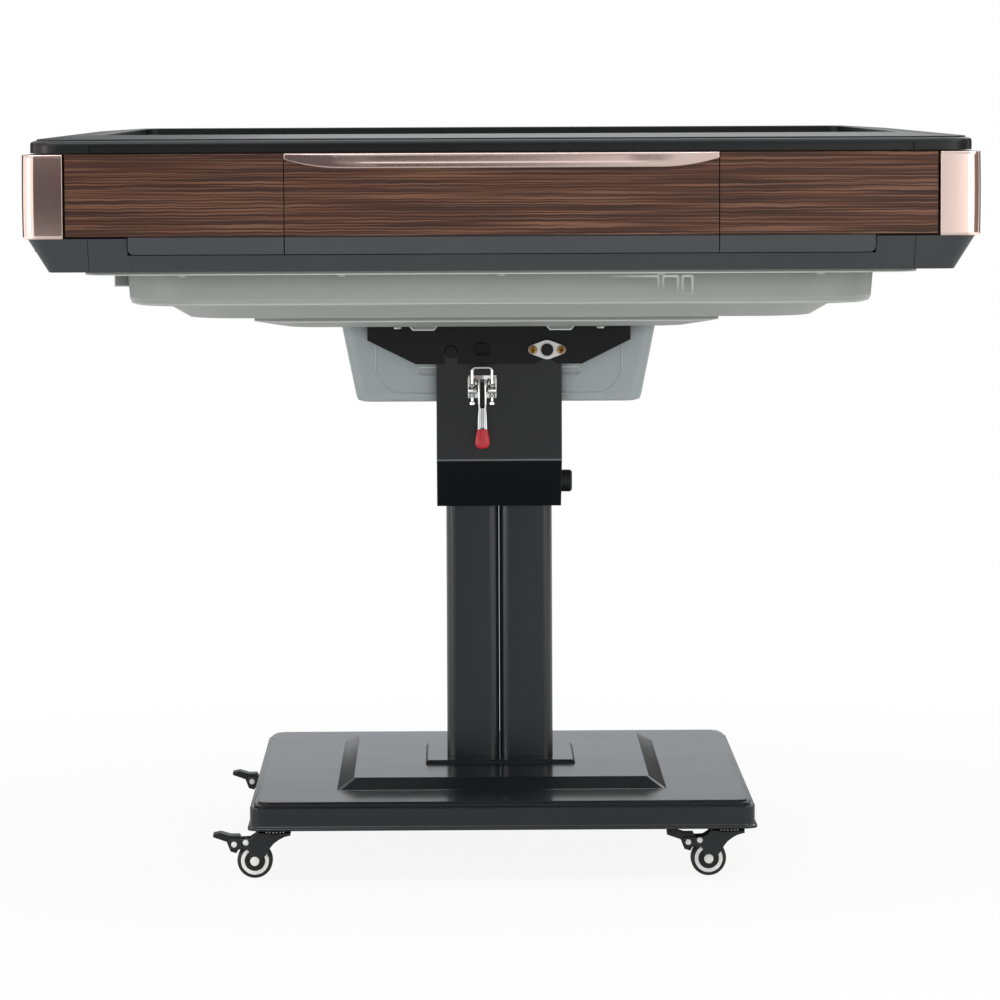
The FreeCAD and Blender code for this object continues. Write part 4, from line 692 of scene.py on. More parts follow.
class Form:
    """Collects solids in one mesh. Sizes are millimetres in the table's own frame."""

    round_from_deg = 35

    def __init__(self) -> None:
        """Start with an empty form."""
        self.shape = bmesh.new()

    def skin(self, rows: list[list[bmesh.types.BMVert]], endless: bool = False) -> None:
        """Join rows of points with faces.

        Args:
            rows: Rows with equal counts, apart from those that close to a single point.
            endless: Whether the last row joins the first.
        """
        count = max(len(row) for row in rows)
        for low, high in zip(rows, rows[1:] + rows[:1] if endless else rows[1:]):
            for near in range(count):
                far = (near + 1) % count
                ring = [low[near % len(low)], low[far % len(low)], high[far % len(high)], high[near % len(high)]]
                self.shape.faces.new(list(dict.fromkeys(ring)))

    def loft(self, rings: Sequence[Sequence[Point]], endless: bool = False) -> None:
        """Make a solid from closed rings with equal counts.

        Args:
            rings: Rings of points, in order along the solid.
            endless: Whether the last ring joins the first. If not, both ends are closed.
        """
        rows = [[self.shape.verts.new(spot) for spot in ring] for ring in rings]
        self.skin(rows, endless)
        if not endless:
            self.shape.faces.new(rows[0][::-1])
            self.shape.faces.new(rows[-1])

    def turn(self, profile: Sequence[Point], at: Point, axis: Axis, steps: int = 40) -> None:
        """Turn a profile of (radius, height) points into a solid.

        Args:
            profile: Outline from one end of the axis to the other, or a closed ring off the axis.
            at: Where the profile's own origin sits.
            axis: The direction of height.
            steps: Number of flats round the solid.
        """
        rows = []
        for radius, height in profile:
            spots = []
            for step in range(steps if radius else 1):
                angle = math.tau * step / steps
                local = (radius * math.cos(angle), radius * math.sin(angle), height)
                spots.append(self.shape.verts.new(Vector(at) + Vector([local[number] for number in axis.value])))
            rows.append(spots)
        self.skin(rows, endless=bool(profile[0][0]))

    def tube(self, path: Sequence[Point], radius: float, sides: int = 14) -> None:
        """Run a round rod along a path in an upright plane that faces the front.

        Args:
            path: Points of the centre line, with equal depth.
            radius: Half the rod's thickness.
            sides: Number of flats round it.
        """
        spots = [Vector(spot) for spot in path]
        inward = Vector((0, 1, 0))
        angles = [math.tau * side / sides for side in range(sides)]
        rings = []
        for number, spot in enumerate(spots):
            before, after = spots[max(number - 1, 0)], spots[min(number + 1, len(spots) - 1)]
            across = inward.cross((after - before).normalized())
            rings.append([
                spot + radius * (across * math.cos(angle) + inward * math.sin(angle)) for angle in angles
            ])
        self.loft(rings)

    def block(self, low: Point, high: Point) -> None:
        """Add a block.

        Args:
            low: Its lowest corner.
            high: Its highest corner.
        """
        ring = [(low[0], low[1]), (high[0], low[1]), (high[0], high[1]), (low[0], high[1])]
        self.loft([[(x, y, level) for x, y in ring] for level in (low[2], high[2])])

    def mesh(self, name: str, soften: float = 0.0) -> Mesh:
        """Close the form.

        Args:
            name: The mesh's name.
            soften: Width of the round on sharp edges.

        Returns:
            The finished mesh in metres.
        """
        bmesh.ops.recalc_face_normals(self.shape, faces=self.shape.faces)
        if soften:
            limit = math.radians(self.round_from_deg)
            sharp = [edge for edge in self.shape.edges if edge.calc_face_angle(0.0) > limit]
            bmesh.ops.bevel(
                self.shape, geom=sharp, offset=soften, segments=2, profile=0.6, affect="EDGES", clamp_overlap=True
            )
        self.shape.transform(Matrix.Scale(MM, 4))
        made = bpy.data.meshes.new(name)
        self.shape.to_mesh(made)
        self.shape.free()
        return made

    def add(
        self, name: str, body: str, finish: Finish, slot: str, replaces: Sequence[str] = (),
        soften: float = 0.0, crease_deg: float = 38.0,
    ) -> None:
        """Close the form and add it as a piece.

        Args:
            name: The piece's name.
            body: The body that it moves with.
            finish: Its surface.
            slot: The record's material slot. Not used.
            replaces: Frame nodes that it stands for.
            soften: Width of the round on sharp edges.
            crease_deg: Edges that turn more than this stay sharp.
        """
        add_piece(name, self.mesh(name, soften), body, finish, replaces, crease_deg)


class Repeats:
    """Geometry node trees for what repeats: fasteners on points, and balls round a race."""

    def __init__(self) -> None:
        """Build both trees."""
        self.fasteners = self.fastener_tree()
        self.race = self.race_tree()

    @staticmethod
    def new_tree(name: str, inputs: dict[str, str]) -> tuple[NodeTree, dict[str, NodeSocket]]:
        """Start a tree with named inputs and one geometry output.

        Args:
            name: The tree's name.
            inputs: Socket types by input name.

        Returns:
            The tree and what it is given, by input name.
        """
        tree = bpy.data.node_groups.new(name, "GeometryNodeTree")
        for label, kind in inputs.items():
            tree.interface.new_socket(label, in_out="INPUT", socket_type=f"NodeSocket{kind}")
        tree.interface.new_socket("Geometry", in_out="OUTPUT", socket_type="NodeSocketGeometry")
        given = add_node(tree, "NodeGroupInput")
        return tree, {label: given.outputs[label] for label in inputs}

    def fastener_tree(self) -> NodeTree:
        """Put one fastener on each point, facing one way, each with its own turn.

        Returns:
            The tree.
        """
        tree, given = self.new_tree("fasteners on points", {
            "Points": "Geometry", "Fastener": "Object", "Facing": "Vector", "Seed": "Int", "Finish": "Material",
        })
        template = add_node(tree, "GeometryNodeObjectInfo", {"Object": given["Fastener"]})
        spin = add_node(tree, "FunctionNodeRandomValue", {
            2: 0.0, 3: math.tau, "Seed": given["Seed"],
        }, data_type="FLOAT")
        own = add_node(tree, "FunctionNodeAxisAngleToRotation", {"Axis": UP, "Angle": spin.outputs[1]})
        face = add_node(tree, "FunctionNodeEulerToRotation", {"Euler": given["Facing"]})
        turn = add_node(tree, "FunctionNodeRotateRotation", {
            "Rotation": face.outputs["Rotation"], "Rotate By": own.outputs["Rotation"],
        }, rotation_space="LOCAL")
        placed = add_node(tree, "GeometryNodeInstanceOnPoints", {
            "Points": given["Points"], "Instance": template.outputs["Geometry"], "Rotation": turn.outputs["Rotation"],
        })
        self.close_tree(tree, placed.outputs["Instances"], given["Finish"])
        return tree

    def race_tree(self) -> NodeTree:
        """Set balls at equal steps round a ring.

        Returns:
            The tree.
        """
        tree, given = self.new_tree("balls round a race", {
            "Points": "Geometry", "Count": "Int", "Ring Radius": "Float", "Ball Radius": "Float",
            "Centre": "Vector", "Finish": "Material",
        })
        ring = add_node(tree, "GeometryNodeMeshCircle", {"Vertices": given["Count"], "Radius": given["Ring Radius"]})
        ball = add_node(tree, "GeometryNodeMeshIcoSphere", {"Radius": given["Ball Radius"], "Subdivisions": 2})
        placed = add_node(tree, "GeometryNodeInstanceOnPoints", {
            "Points": ring.outputs["Mesh"], "Instance": ball.outputs["Mesh"],
        })
        moved = add_node(tree, "GeometryNodeTransform", {
            "Geometry": placed.outputs["Instances"], "Translation": given["Centre"],
        })
        self.close_tree(tree, moved.outputs["Geometry"], given["Finish"])
        return tree

    @staticmethod
    def close_tree(tree: NodeTree, last: NodeSocket, finish: NodeSocket) -> None:
        """End a tree with realised instances and their finish.

        Args:
            tree: The tree to end.
            last: What it has made.
            finish: The material that it is given.
        """
        solid = add_node(tree, "GeometryNodeRealizeInstances", {"Geometry": last})
        dressed = add_node(tree, "GeometryNodeSetMaterial", {
            "Geometry": solid.outputs["Geometry"], "Material": finish,
        })
        add_node(tree, "NodeGroupOutput", {"Geometry": dressed.outputs["Geometry"]})

    @staticmethod
    def grow(tree: NodeTree, name: str, points: Sequence[Point], values: dict[str, Any]) -> Mesh:
        """Run a tree on points and keep the result as a plain mesh.

        Args:
            tree: The tree to run.
            name: The mesh's name.
            points: Places in millimetres.
            values: The tree's inputs by name.

        Returns:
            The mesh.
        """
        seats = bpy.data.meshes.new(f"{name}_points")
        seats.from_pydata([Vector(point) * MM for point in points], [], [])
        holder = add_object(f"{name}_holder", seats)
        modifier = holder.modifiers.new("repeat", "NODES")
        modifier.node_group = tree
        for item in tree.interface.items_tree:
            if item.name in values:
                modifier[item.identifier] = values[item.name]
        graph = bpy.context.evaluated_depsgraph_get()
        made = bpy.data.meshes.new_from_object(holder.evaluated_get(graph))
        made.name = name
        bpy.data.objects.remove(holder)
        return made

    def add_fasteners(
        self, name: str, template: Mesh, points: Sequence[Point], facing: Facing, body: str, finish: Finish,
        replaces: Sequence[str] = (),
    ) -> None:
        """Add a set of like fasteners as one piece.

        Args:
            name: The piece's name.
            template: One fastener, its head looking up from its seat at the origin.
            points: Seats in millimetres.
            facing: Where the heads look.
            body: The body that carries them.
            finish: Their surface.
            replaces: Frame nodes that they stand for.
        """
        holder = add_object(f"{name}_template", template)
        mesh = self.grow(self.fasteners, name, points, {
            "Fastener": holder, "Facing": facing.value, "Seed": len(points), "Finish": finish.material(),
        })
        bpy.data.objects.remove(holder)
        add_piece(name, mesh, body, finish, replaces)


def cross_screw(radius: float, height: float, sides: int = 24) -> Mesh:
    """A pan-head screw with a cross recess.

    Args:
        radius: Half the head's width in millimetres.
        height: The head's height in millimetres.
        sides: Number of flats round the head.

    Returns:
        The mesh, its seat at the origin.
    """
    arm, slot, deep, taper = radius * 0.7, radius * 0.27, height * 0.85, 0.3
    cross = [
        (slot, slot), (arm, slot), (arm, -slot), (slot, -slot), (slot, -arm), (-slot, -arm),
        (-slot, -slot), (-arm, -slot), (-arm, slot), (-slot, slot), (-slot, arm), (slot, arm),
    ]
    head = Form()
    shape = head.shape
    angles = [math.tau * step / sides for step in range(sides)]
    rings = [
        [
            shape.verts.new((radius * share * math.cos(angle), radius * share * math.sin(angle), height * level))
            for angle in angles
        ]
        for share, level in ((1.0, 0.0), (1.0, 0.45), (0.93, 0.75), (0.8, 1.0))
    ]
    brim = [shape.verts.new((x, y, height)) for x, y in cross]
    floor = [shape.verts.new((x * taper, y * taper, height - deep)) for x, y in cross]
    head.skin(rings)
    shape.faces.new(rings[0][::-1])
    edges = []
    for ring in (rings[-1], brim):
        for pair in zip(ring, ring[1:] + ring[:1]):
            edges.append(shape.edges.get(pair) or shape.edges.new(pair))
    bmesh.ops.triangle_fill(shape, edges=edges, use_beauty=True, normal=UP)
    extra = [face for face in shape.faces if all(spot in brim for spot in face.verts)]
    bmesh.ops.delete(shape, geom=extra, context="FACES_ONLY")
    head.skin([brim, floor])
    shape.faces.new(floor)
    return head.mesh("cross_screw")


@dataclass(frozen=True)
class Card:
    """A photographer's card that only metal and gloss show, upright or level. Sizes in metres."""

    name: str
    low: Point
    high: Point
    colour: str
    strength: float = 1.0

    def build(self) -> None:
        """Set the card up between its two opposite corners."""
        (left, near, low), (right, far, high) = self.low, self.high
        corners = [(left, near, low), (right, far, low), (right, far, high), (left, near, high)]
        if low == high:
            corners = [(left, near, low), (right, near, low), (right, far, low), (left, far, low)]
        mesh = bpy.data.meshes.new(self.name)
        mesh.from_pydata(corners, [], [(0, 1, 2, 3)])
        made = bare_material(self.name)
        glow = add_node(made.node_tree, "ShaderNodeEmission", {
            "Color": linear(self.colour), "Strength": self.strength,
        })
        add_node(made.node_tree, "ShaderNodeOutputMaterial", {"Surface": glow.outputs["Emission"]})
        mesh.materials.append(made)
        card = add_object(self.name, mesh)
        card.visible_camera = False
        card.visible_diffuse = False
        card.visible_shadow = False


@dataclass(frozen=True)
class Lamp:
    """A soft square lamp that looks at the middle of the table. Sizes in metres, power in watts."""

    name: str
    at: Point
    size: float
    power: float
    in_gloss: bool = True
    target: Point = (0, 0, 0.5)

    def build(self) -> None:
        """Hang the lamp."""
        data = bpy.data.lights.new(self.name, "AREA")
        data.shape = "SQUARE"
        data.size = self.size
        data.energy = self.power
        lamp = add_object(self.name, data)
        lamp.location = self.at
        lamp.visible_glossy = self.in_gloss
        lamp.rotation_euler = (Vector(self.target) - Vector(self.at)).to_track_quat("-Z", "Y").to_euler()


# Dark cards in front keep the flat faces deep. Bright cards aside draw the white bands on the posts.
CARDS = (
    Card("front_card", (-2.7, -7.5, 0.02), (0.25, -7.5, 0.95), "#524849"),
    Card("high_front_card", (-2.7, -7.5, 0.95), (0.25, -7.5, 3.6), "#8f8689"),
    Card("left_corner_card", (-2.7, -7.5, 0.02), (-5.0, -5.0, 1.3), "#fff8f5", 1.35),
    Card("left_card", (-5.0, -5.0, 0.02), (-5.0, 1.5, 1.3), "#fff8f5", 1.3),
    Card("left_strip", (-4.9, -4.4, 0.02), (-4.9, -2.2, 1.3), "#fffaf8", 5.0),
    Card("right_front_card", (0.5, -7.6, 0.02), (1.7, -7.6, 3.5), "#ffffff", 0.8),
    Card("right_corner_card", (1.6, -7.5, 0.02), (5.0, -5.0, 1.3), "#fff8f5", 2.2),
    Card("right_card", (5.0, -5.0, 0.02), (5.0, -3.1, 1.3), "#fff8f5", 2.0),
    Card("right_dark_card", (5.0, -3.1, 0.02), (5.0, 1.5, 3.5), "#8d7b72"),
    Card("top_card", (-3.0, -1.8, 3.5), (3.0, -0.4, 3.5), "#f4f8ff", 3.0),
    Card("rear_left_card", (-5, 2.5, 0.02), (-1.3, 10.0, 3.0), "#565655"),
    Card("rear_right_card", (5, 2.5, 0.02), (1.3, 10.0, 3.0), "#565655"),
    Card("rear_card", (-1.3, 10.0, 0.02), (1.3, 10.0, 1.75), "#f0f5fa"),
    Card("high_rear_card", (-3.0, 10.0, 1.75), (3.0, 10.0, 6.0), "#959595"),
)
LAMPS = (
    Lamp("key_lamp", (-1.6, -2.6, 3.2), 2.4, 44.0),
    Lamp("fill_lamp", (2.4, -1.8, 2.0), 2.0, 22.0),
    Lamp("rear_lamp", (0.6, 2.6, 2.6), 2.4, 22.0),
    Lamp("low_lamp", (-0.3, -3.0, 0.5), 1.0, 3.6, in_gloss=False),
    Lamp("floor_lamp", (0.0, -1.3, 0.08), 0.8, 4.2, in_gloss=False),
)
WHITE = (1, 1, 1, 1)


@dataclass
class Studio:
    """Pale floor, white surroundings, soft lamps, and the camera of the picture."""

    floor_half_m: float = 40.0
    floor_grey: float = 0.93
    floor_own_light: float = 0.91
    shadow_from_m: float = 0.4
    shadow_to_m: float = 1.4
    ambient: float = 0.45
    floor_in_gloss: float = 0.6
    floor_aside: float = 1.4
    aside_from_m: float = 0.5
    aside_to_m: float = 1.8
    lens_mm: float = 173.9
    view_end_m: float = 200.0
    camera_at: Point = (-0.05, -5.3657, 0.843)
    pitch_deg: float = 4.883
    yaw_deg: float = -0.549
    roll_deg: float = -0.25

    def build(self) -> None:
        """Set up everything that isn't the table."""
        bpy.context.scene.view_settings.view_transform = "Standard"
        self.build_world()
        self.build_floor()
        for thing in CARDS + LAMPS:
            thing.build()
        self.build_camera()

    @staticmethod
    def seen_directly(tree: NodeTree) -> NodeSocket:
        """Tell rays that see a thing from those that only light it.

        Args:
            tree: The tree that gets the nodes.

        Returns:
            One where a camera, glossy or transmitted ray arrives, and zero elsewhere.
        """
        path = add_node(tree, "ShaderNodeLightPath").outputs
        first = add_node(tree, "ShaderNodeMath", {
            0: path["Is Camera Ray"], 1: path["Is Glossy Ray"],
        }, operation="MAXIMUM")
        last = add_node(tree, "ShaderNodeMath", {
            0: first.outputs[0], 1: path["Is Transmission Ray"],
        }, operation="MAXIMUM")
        return last.outputs[0]

    def build_world(self) -> None:
        """White where it is seen or mirrored, and a plain ambient light."""
        world = bpy.data.worlds.new("white studio")
        bpy.context.scene.world = world
        world.use_nodes = True
        tree = world.node_tree
        tree.nodes.clear()
        level = add_node(tree, "ShaderNodeMapRange", {
            "Value": self.seen_directly(tree), "To Min": self.ambient, "To Max": 1.0,
        })
        sky = add_node(tree, "ShaderNodeBackground", {"Color": WHITE, "Strength": level.outputs["Result"]})
        add_node(tree, "ShaderNodeOutputWorld", {"Surface": sky.outputs["Background"]})

    def build_floor(self) -> None:
        """A pale floor that keeps a light shadow, and is darker in gloss under the table."""
        half, grey = self.floor_half_m, self.floor_grey
        made = bare_material("floor white")
        tree = made.node_tree
        matt = add_node(tree, "ShaderNodeBsdfDiffuse", {"Color": (grey, grey, grey, 1)})
        glow = add_node(tree, "ShaderNodeEmission", {"Color": WHITE, "Strength": 1.0})
        spot = add_node(tree, "ShaderNodeTexCoord").outputs["Object"]
        away = add_node(tree, "ShaderNodeVectorMath", {0: spot}, operation="LENGTH").outputs["Value"]
        share = add_node(tree, "ShaderNodeMapRange", {
            "Value": away, "From Min": self.shadow_from_m, "From Max": self.shadow_to_m,
            "To Min": self.floor_own_light, "To Max": 1.0,
        })
        near = add_node(tree, "ShaderNodeMath", {
            0: self.seen_directly(tree), 1: share.outputs["Result"],
        }, operation="MULTIPLY")
        both = add_node(tree, "ShaderNodeMixShader", {
            0: near.outputs[0], 1: matt.outputs["BSDF"], 2: glow.outputs["Emission"],
        })
        sideways = add_node(tree, "ShaderNodeMath", {
            0: add_node(tree, "ShaderNodeSeparateXYZ", {"Vector": spot}).outputs["X"],
        }, operation="ABSOLUTE")
        level = add_node(tree, "ShaderNodeMapRange", {
            "Value": sideways.outputs[0], "From Min": self.aside_from_m, "From Max": self.aside_to_m,
            "To Min": self.floor_in_gloss, "To Max": self.floor_aside,
        })
        dim = add_node(tree, "ShaderNodeEmission", {"Color": WHITE, "Strength": level.outputs["Result"]})
        surface = add_node(tree, "ShaderNodeMixShader", {
            0: add_node(tree, "ShaderNodeLightPath").outputs["Is Glossy Ray"],
            1: both.outputs["Shader"], 2: dim.outputs["Emission"],
        })
        add_node(tree, "ShaderNodeOutputMaterial", {"Surface": surface.outputs["Shader"]})
        mesh = bpy.data.meshes.new("floor")
        mesh.from_pydata([(-half, -half, 0), (half, -half, 0), (half, half, 0), (-half, half, 0)], [], [(0, 1, 2, 3)])
        mesh.materials.append(made)
        add_object("floor", mesh)

    def build_camera(self) -> None:
        """Set the camera where the picture was taken from."""
        data = bpy.data.cameras.new("picture camera")
        data.lens = self.lens_mm
        data.clip_end = self.view_end_m
        camera = add_object("picture camera", data)
        camera.location = self.camera_at
        turns = [(self.yaw_deg, "Z"), (90 - self.pitch_deg, "X"), (self.roll_deg, "Z")]
        yaw, pitch, roll = [Matrix.Rotation(math.radians(angle), 3, axis) for angle, axis in turns]
        camera.rotation_euler = (yaw @ pitch @ roll).to_euler()
        bpy.context.scene.camera = camera


@dataclass
class TopFrame:
    """Rim and corner posts round the playing surface."""

    rim_half: float = 478.0
    rim_corner: float = 30.0
    rim_low: float = 778.4
    rim_steps: int = 10
    recess_depth: float = 4.0
    recess_half: float = 417.5
    recess_top: float = 786.4
    recess_overlap: float = 0.5
    crest_corner: float = 15.0
    post_half: float = 485.0
    post_inner: float = 467.0
    post_end: float = 443.4
    post_crown: float = 0.45
    post_round: float = 14.0
    post_low: float = 692.0
    post_high: float = 777.0
    post_levels: int = 24
    post_steps: int = 16

    def build_rim(self) -> None:
        """Mould the rim: a sloped slab that sits back on a rounded rail, with a long recess in each face."""
        back = self.rim_half - self.recess_depth
        profile = [
            (413.0, self.rim_low), (back, self.rim_low), (back, self.recess_top), (478.0, self.recess_top),
            (478.0, 787.6), (477.6, 788.8), (476.4, 789.8), (474.6, 790.5), (472.1, 790.9), (471.6, 791.1),
            (471.6, 791.9), (471.2, 792.4), (470.2, 792.6), (468.8, 792.7), (418.4, 795.9), (417.0, 796.0),
            (414.0, 796.0), (413.0, 795.2),
        ]
        rim = Form()
        rim.loft([
            rounded_ring(half, half, max(self.rim_corner - (self.rim_half - half), self.crest_corner), level)
            for half, level in profile
        ], endless=True)
        middle = self.rim_half - self.rim_corner
        hidden = back - self.recess_overlap
        plan = [
            (self.recess_half, -hidden), (self.recess_half, -self.rim_half),
            *corner_arc(middle, self.rim_corner, self.rim_steps),
            (self.rim_half, -self.recess_half), (hidden, -self.recess_half), (middle, -middle),
        ]
        for quarter in range(4):
            turn = quarter_turn(quarter)
            rim.loft([[turn @ Vector((x, y, level)) for x, y in plan] for level in (self.rim_low, self.recess_top)])
        rim.add("rim_moulding", "table", RIM_ABS, "black_abs", ["rim_frame"])

    def build_posts(self) -> None:
        """Wrap each corner in a cover with a round corner, a faint crown and broken ends."""
        tall = self.post_high - self.post_low
        ends = [(0.7, 0.0), (0.2, 0.3), (0.0, 0.9)]
        levels = ends + [(0.0, tall * step / self.post_levels) for step in range(1, self.post_levels)]
        levels += [(broken, tall - up) for broken, up in ends[::-1]]
        posts = Form()
        for quarter in range(4):
            turn = quarter_turn(quarter)
            rings = []
            for broken, up in levels:
                outer = self.post_half - broken - self.post_crown * (2 * up / tall - 1) ** 2
                plan = [
                    (self.post_end, -outer), *corner_arc(outer - self.post_round, self.post_round, self.post_steps),
                    (outer, -self.post_end), (self.post_inner, -self.post_end),
                    (self.post_inner, -self.post_inner), (self.post_end, -self.post_inner),
                ]
                rings.append([turn @ Vector((x, y, self.post_low + up)) for x, y in plan])
            posts.loft(rings)
        posts.add("corner_covers", "table", ROSE_METAL, "rose_metal", ["corner_posts"])


@dataclass
class Drawers:
    """Long pulls of the four drawers."""

    face: float = 481.0
    pull_thick: float = 3.5
    pull_top: float = 777.5
    pull_low: float = 762.2
    end_low: float = 771.2
    half: float = 219.5
    half_steps: int = 30
    run: float = 58.5
    hollow_half: float = 170.0
    hollow_fade: float = 40.0
    crease_deg: float = 10.0

    def low_edge(self, x: float) -> float:
        """Height of the pull's lower edge, which sweeps up at both ends.

        Args:
            x: Distance from the middle of the drawer.

        Returns:
            The height above the floor.
        """
        climb = self.end_low - self.pull_low
        bend = (self.run ** 2 + climb ** 2) / (2 * climb)
        past = max(abs(x) - (self.half - self.run), 0.0)
        return self.pull_low + bend - math.sqrt(bend ** 2 - past ** 2)

    def pull_ring(self, x: float) -> list[Point]:
        """Section of a pull: a rounded top lip, a finger hollow that fades out near the ends, and a lower lip.

        Args:
            x: Distance from the middle of the drawer.

        Returns:
            Points round the section.
        """
        low = self.low_edge(x)
        tall = self.pull_top - low
        share = min(max((self.hollow_half - abs(x)) / self.hollow_fade, 0.0), 1.0)
        ring = [(x, -self.face, low), (x, -self.face, self.pull_top)]
        for plain, hollow, up in (
            (0.55, 0.55, 1.0), (0.85, 0.85, 0.96), (0.97, 0.97, 0.91), (1.0, 0.98, 0.87), (1.0, 0.8, 0.84),
            (1.0, 0.78, 0.5), (1.0, 0.8, 0.42), (1.0, 0.93, 0.35), (1.0, 0.97, 0.3), (1.0, 0.97, 0.08),
            (0.9, 0.9, 0.03), (0.7, 0.7, 0.0),
        ):
            out = self.pull_thick * (plain + (hollow - plain) * share)
            ring.append((x, -(self.face + out), low + tall * up))
        return ring

    def build_pulls(self) -> None:
        """Shape the pulls of all four drawers."""
        steps = range(2 * self.half_steps + 1)
        for number in range(1, 5):
            pull = Form()
            pull.loft([self.pull_ring(self.half * (step / self.half_steps - 1)) for step in steps])
            pull.shape.transform(quarter_turn(number - 1, 4))
            pull.add(
                f"drawer_grip_{number}", f"drawer_{number}", ROSE_METAL, "rose_metal", [f"drawer_pull_{number}"],
                crease_deg=self.crease_deg,
            )


@dataclass
class PlayingCloth:
    """Cloth on the playing board."""

    thick: float = 1.5
    weld: float = 0.01
    upward: float = 0.9
    flat_angle: float = 0.02

    def build(self) -> None:
        """Lay the cloth: the upper face of its node, with its own thickness and clean cut edges."""
        shape = bmesh.new()
        shape.from_mesh(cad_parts["playfield_cloth"].data)
        bmesh.ops.remove_doubles(shape, verts=shape.verts, dist=self.weld * MM)
        lower = [face for face in shape.faces if face.normal.z < self.upward]
        bmesh.ops.delete(shape, geom=lower, context="FACES")
        bmesh.ops.dissolve_limit(shape, angle_limit=self.flat_angle, verts=shape.verts, edges=shape.edges)
        area = sum(face.calc_area() for face in shape.faces)
        mesh = bpy.data.meshes.new("playing_cloth")
        shape.to_mesh(mesh)
        shape.free()
        cloth = add_piece("playing_cloth", mesh, "table", CLOTH, ["playfield_cloth"])
        mesh.shade_flat()
        wall = cloth.modifiers.new("thickness", "SOLIDIFY")
        wall.thickness = self.thick * MM
        wall.offset = -1.0


@dataclass
class Belly:
    """Screws of the stepped machine shell, and the contacts of its mains inlet."""

    screw_ring: float = 406.0
    screw_step: float = 164.0
    flange_z: float = 653.0
    inlet_x: float = -370.0
    inlet_y: float = -290.0
    inlet_z: float = 644.4
    pin_outer: float = 16.0
    pin_inner: float = 3.2
    pin_half_wide: float = 1.0
    pin_half_tall: float = 2.0

    def build_screws(self, repeats: Repeats) -> None:
        """Screw the shell's flange up under the skirt.

        Args:
            repeats: What places the screws.
        """
        offsets = [self.screw_step * step for step in (-2, -1, 0, 1, 2)]
        points = [(offset, side * self.screw_ring, self.flange_z) for offset in offsets for side in SIDES]
        points += [(side * self.screw_ring, offset, self.flange_z) for offset in offsets for side in SIDES]
        repeats.add_fasteners(
            "belly_screws", cross_screw(4.2, 2.6), points, Facing.DOWN, "table", BELLY_ABS
        )

    def build_pins(self) -> None:
        """Set three flat contacts in the inlet's socket."""
        pins = Form()
        for offset, lift in ((-7.0, -1.0), (0.0, 1.2), (7.0, -1.0)):
            middle, level = self.inlet_y + offset, self.inlet_z + lift
            pins.block(
                (self.inlet_x - self.pin_outer, middle - self.pin_half_wide, level - self.pin_half_tall),
                (self.inlet_x - self.pin_inner, middle + self.pin_half_wide, level + self.pin_half_tall),
            )
        pins.add("inlet_pins", "table", YELLOW_ZINC, "yellow_zinc", soften=0.3)


@dataclass
class HingeBrackets:
    """Screws of the winged brackets and of their flange bearings."""

    pivot_x: float = 52.4
    pivot_z: float = 558.0
    screw_reach: float = 15.5
    bearing_face: float = 109.3
    flange_screw_x: float = 110.0
    flange_screw_y: float = 121.3
    flange_low: float = 584.5

    def build_screws(self, repeats: Repeats) -> None:
        """Set the bearing's yellow screws and the flange's screws.

        Args:
            repeats: What places the screws.
        """
        for side, facing, stands_for in ((-1, Facing.FRONT, ["bracket_screws"]), (1, Facing.BACK, [])):
            points = [
                (self.pivot_x + end * self.screw_reach, side * self.bearing_face, self.pivot_z) for end in SIDES
            ]
            repeats.add_fasteners(
                f"bearing_screws_{facing.name.lower()}", cross_screw(4.4, 2.6), points, facing, "table",
                YELLOW_ZINC, stands_for,
            )
        points = [
            (end * self.flange_screw_x, side * self.flange_screw_y, self.flange_low) for end in SIDES for side in SIDES
        ]
        repeats.add_fasteners(
            "flange_screws", cross_screw(4.6, 2.8), points, Facing.DOWN, "table", ZINC
        )


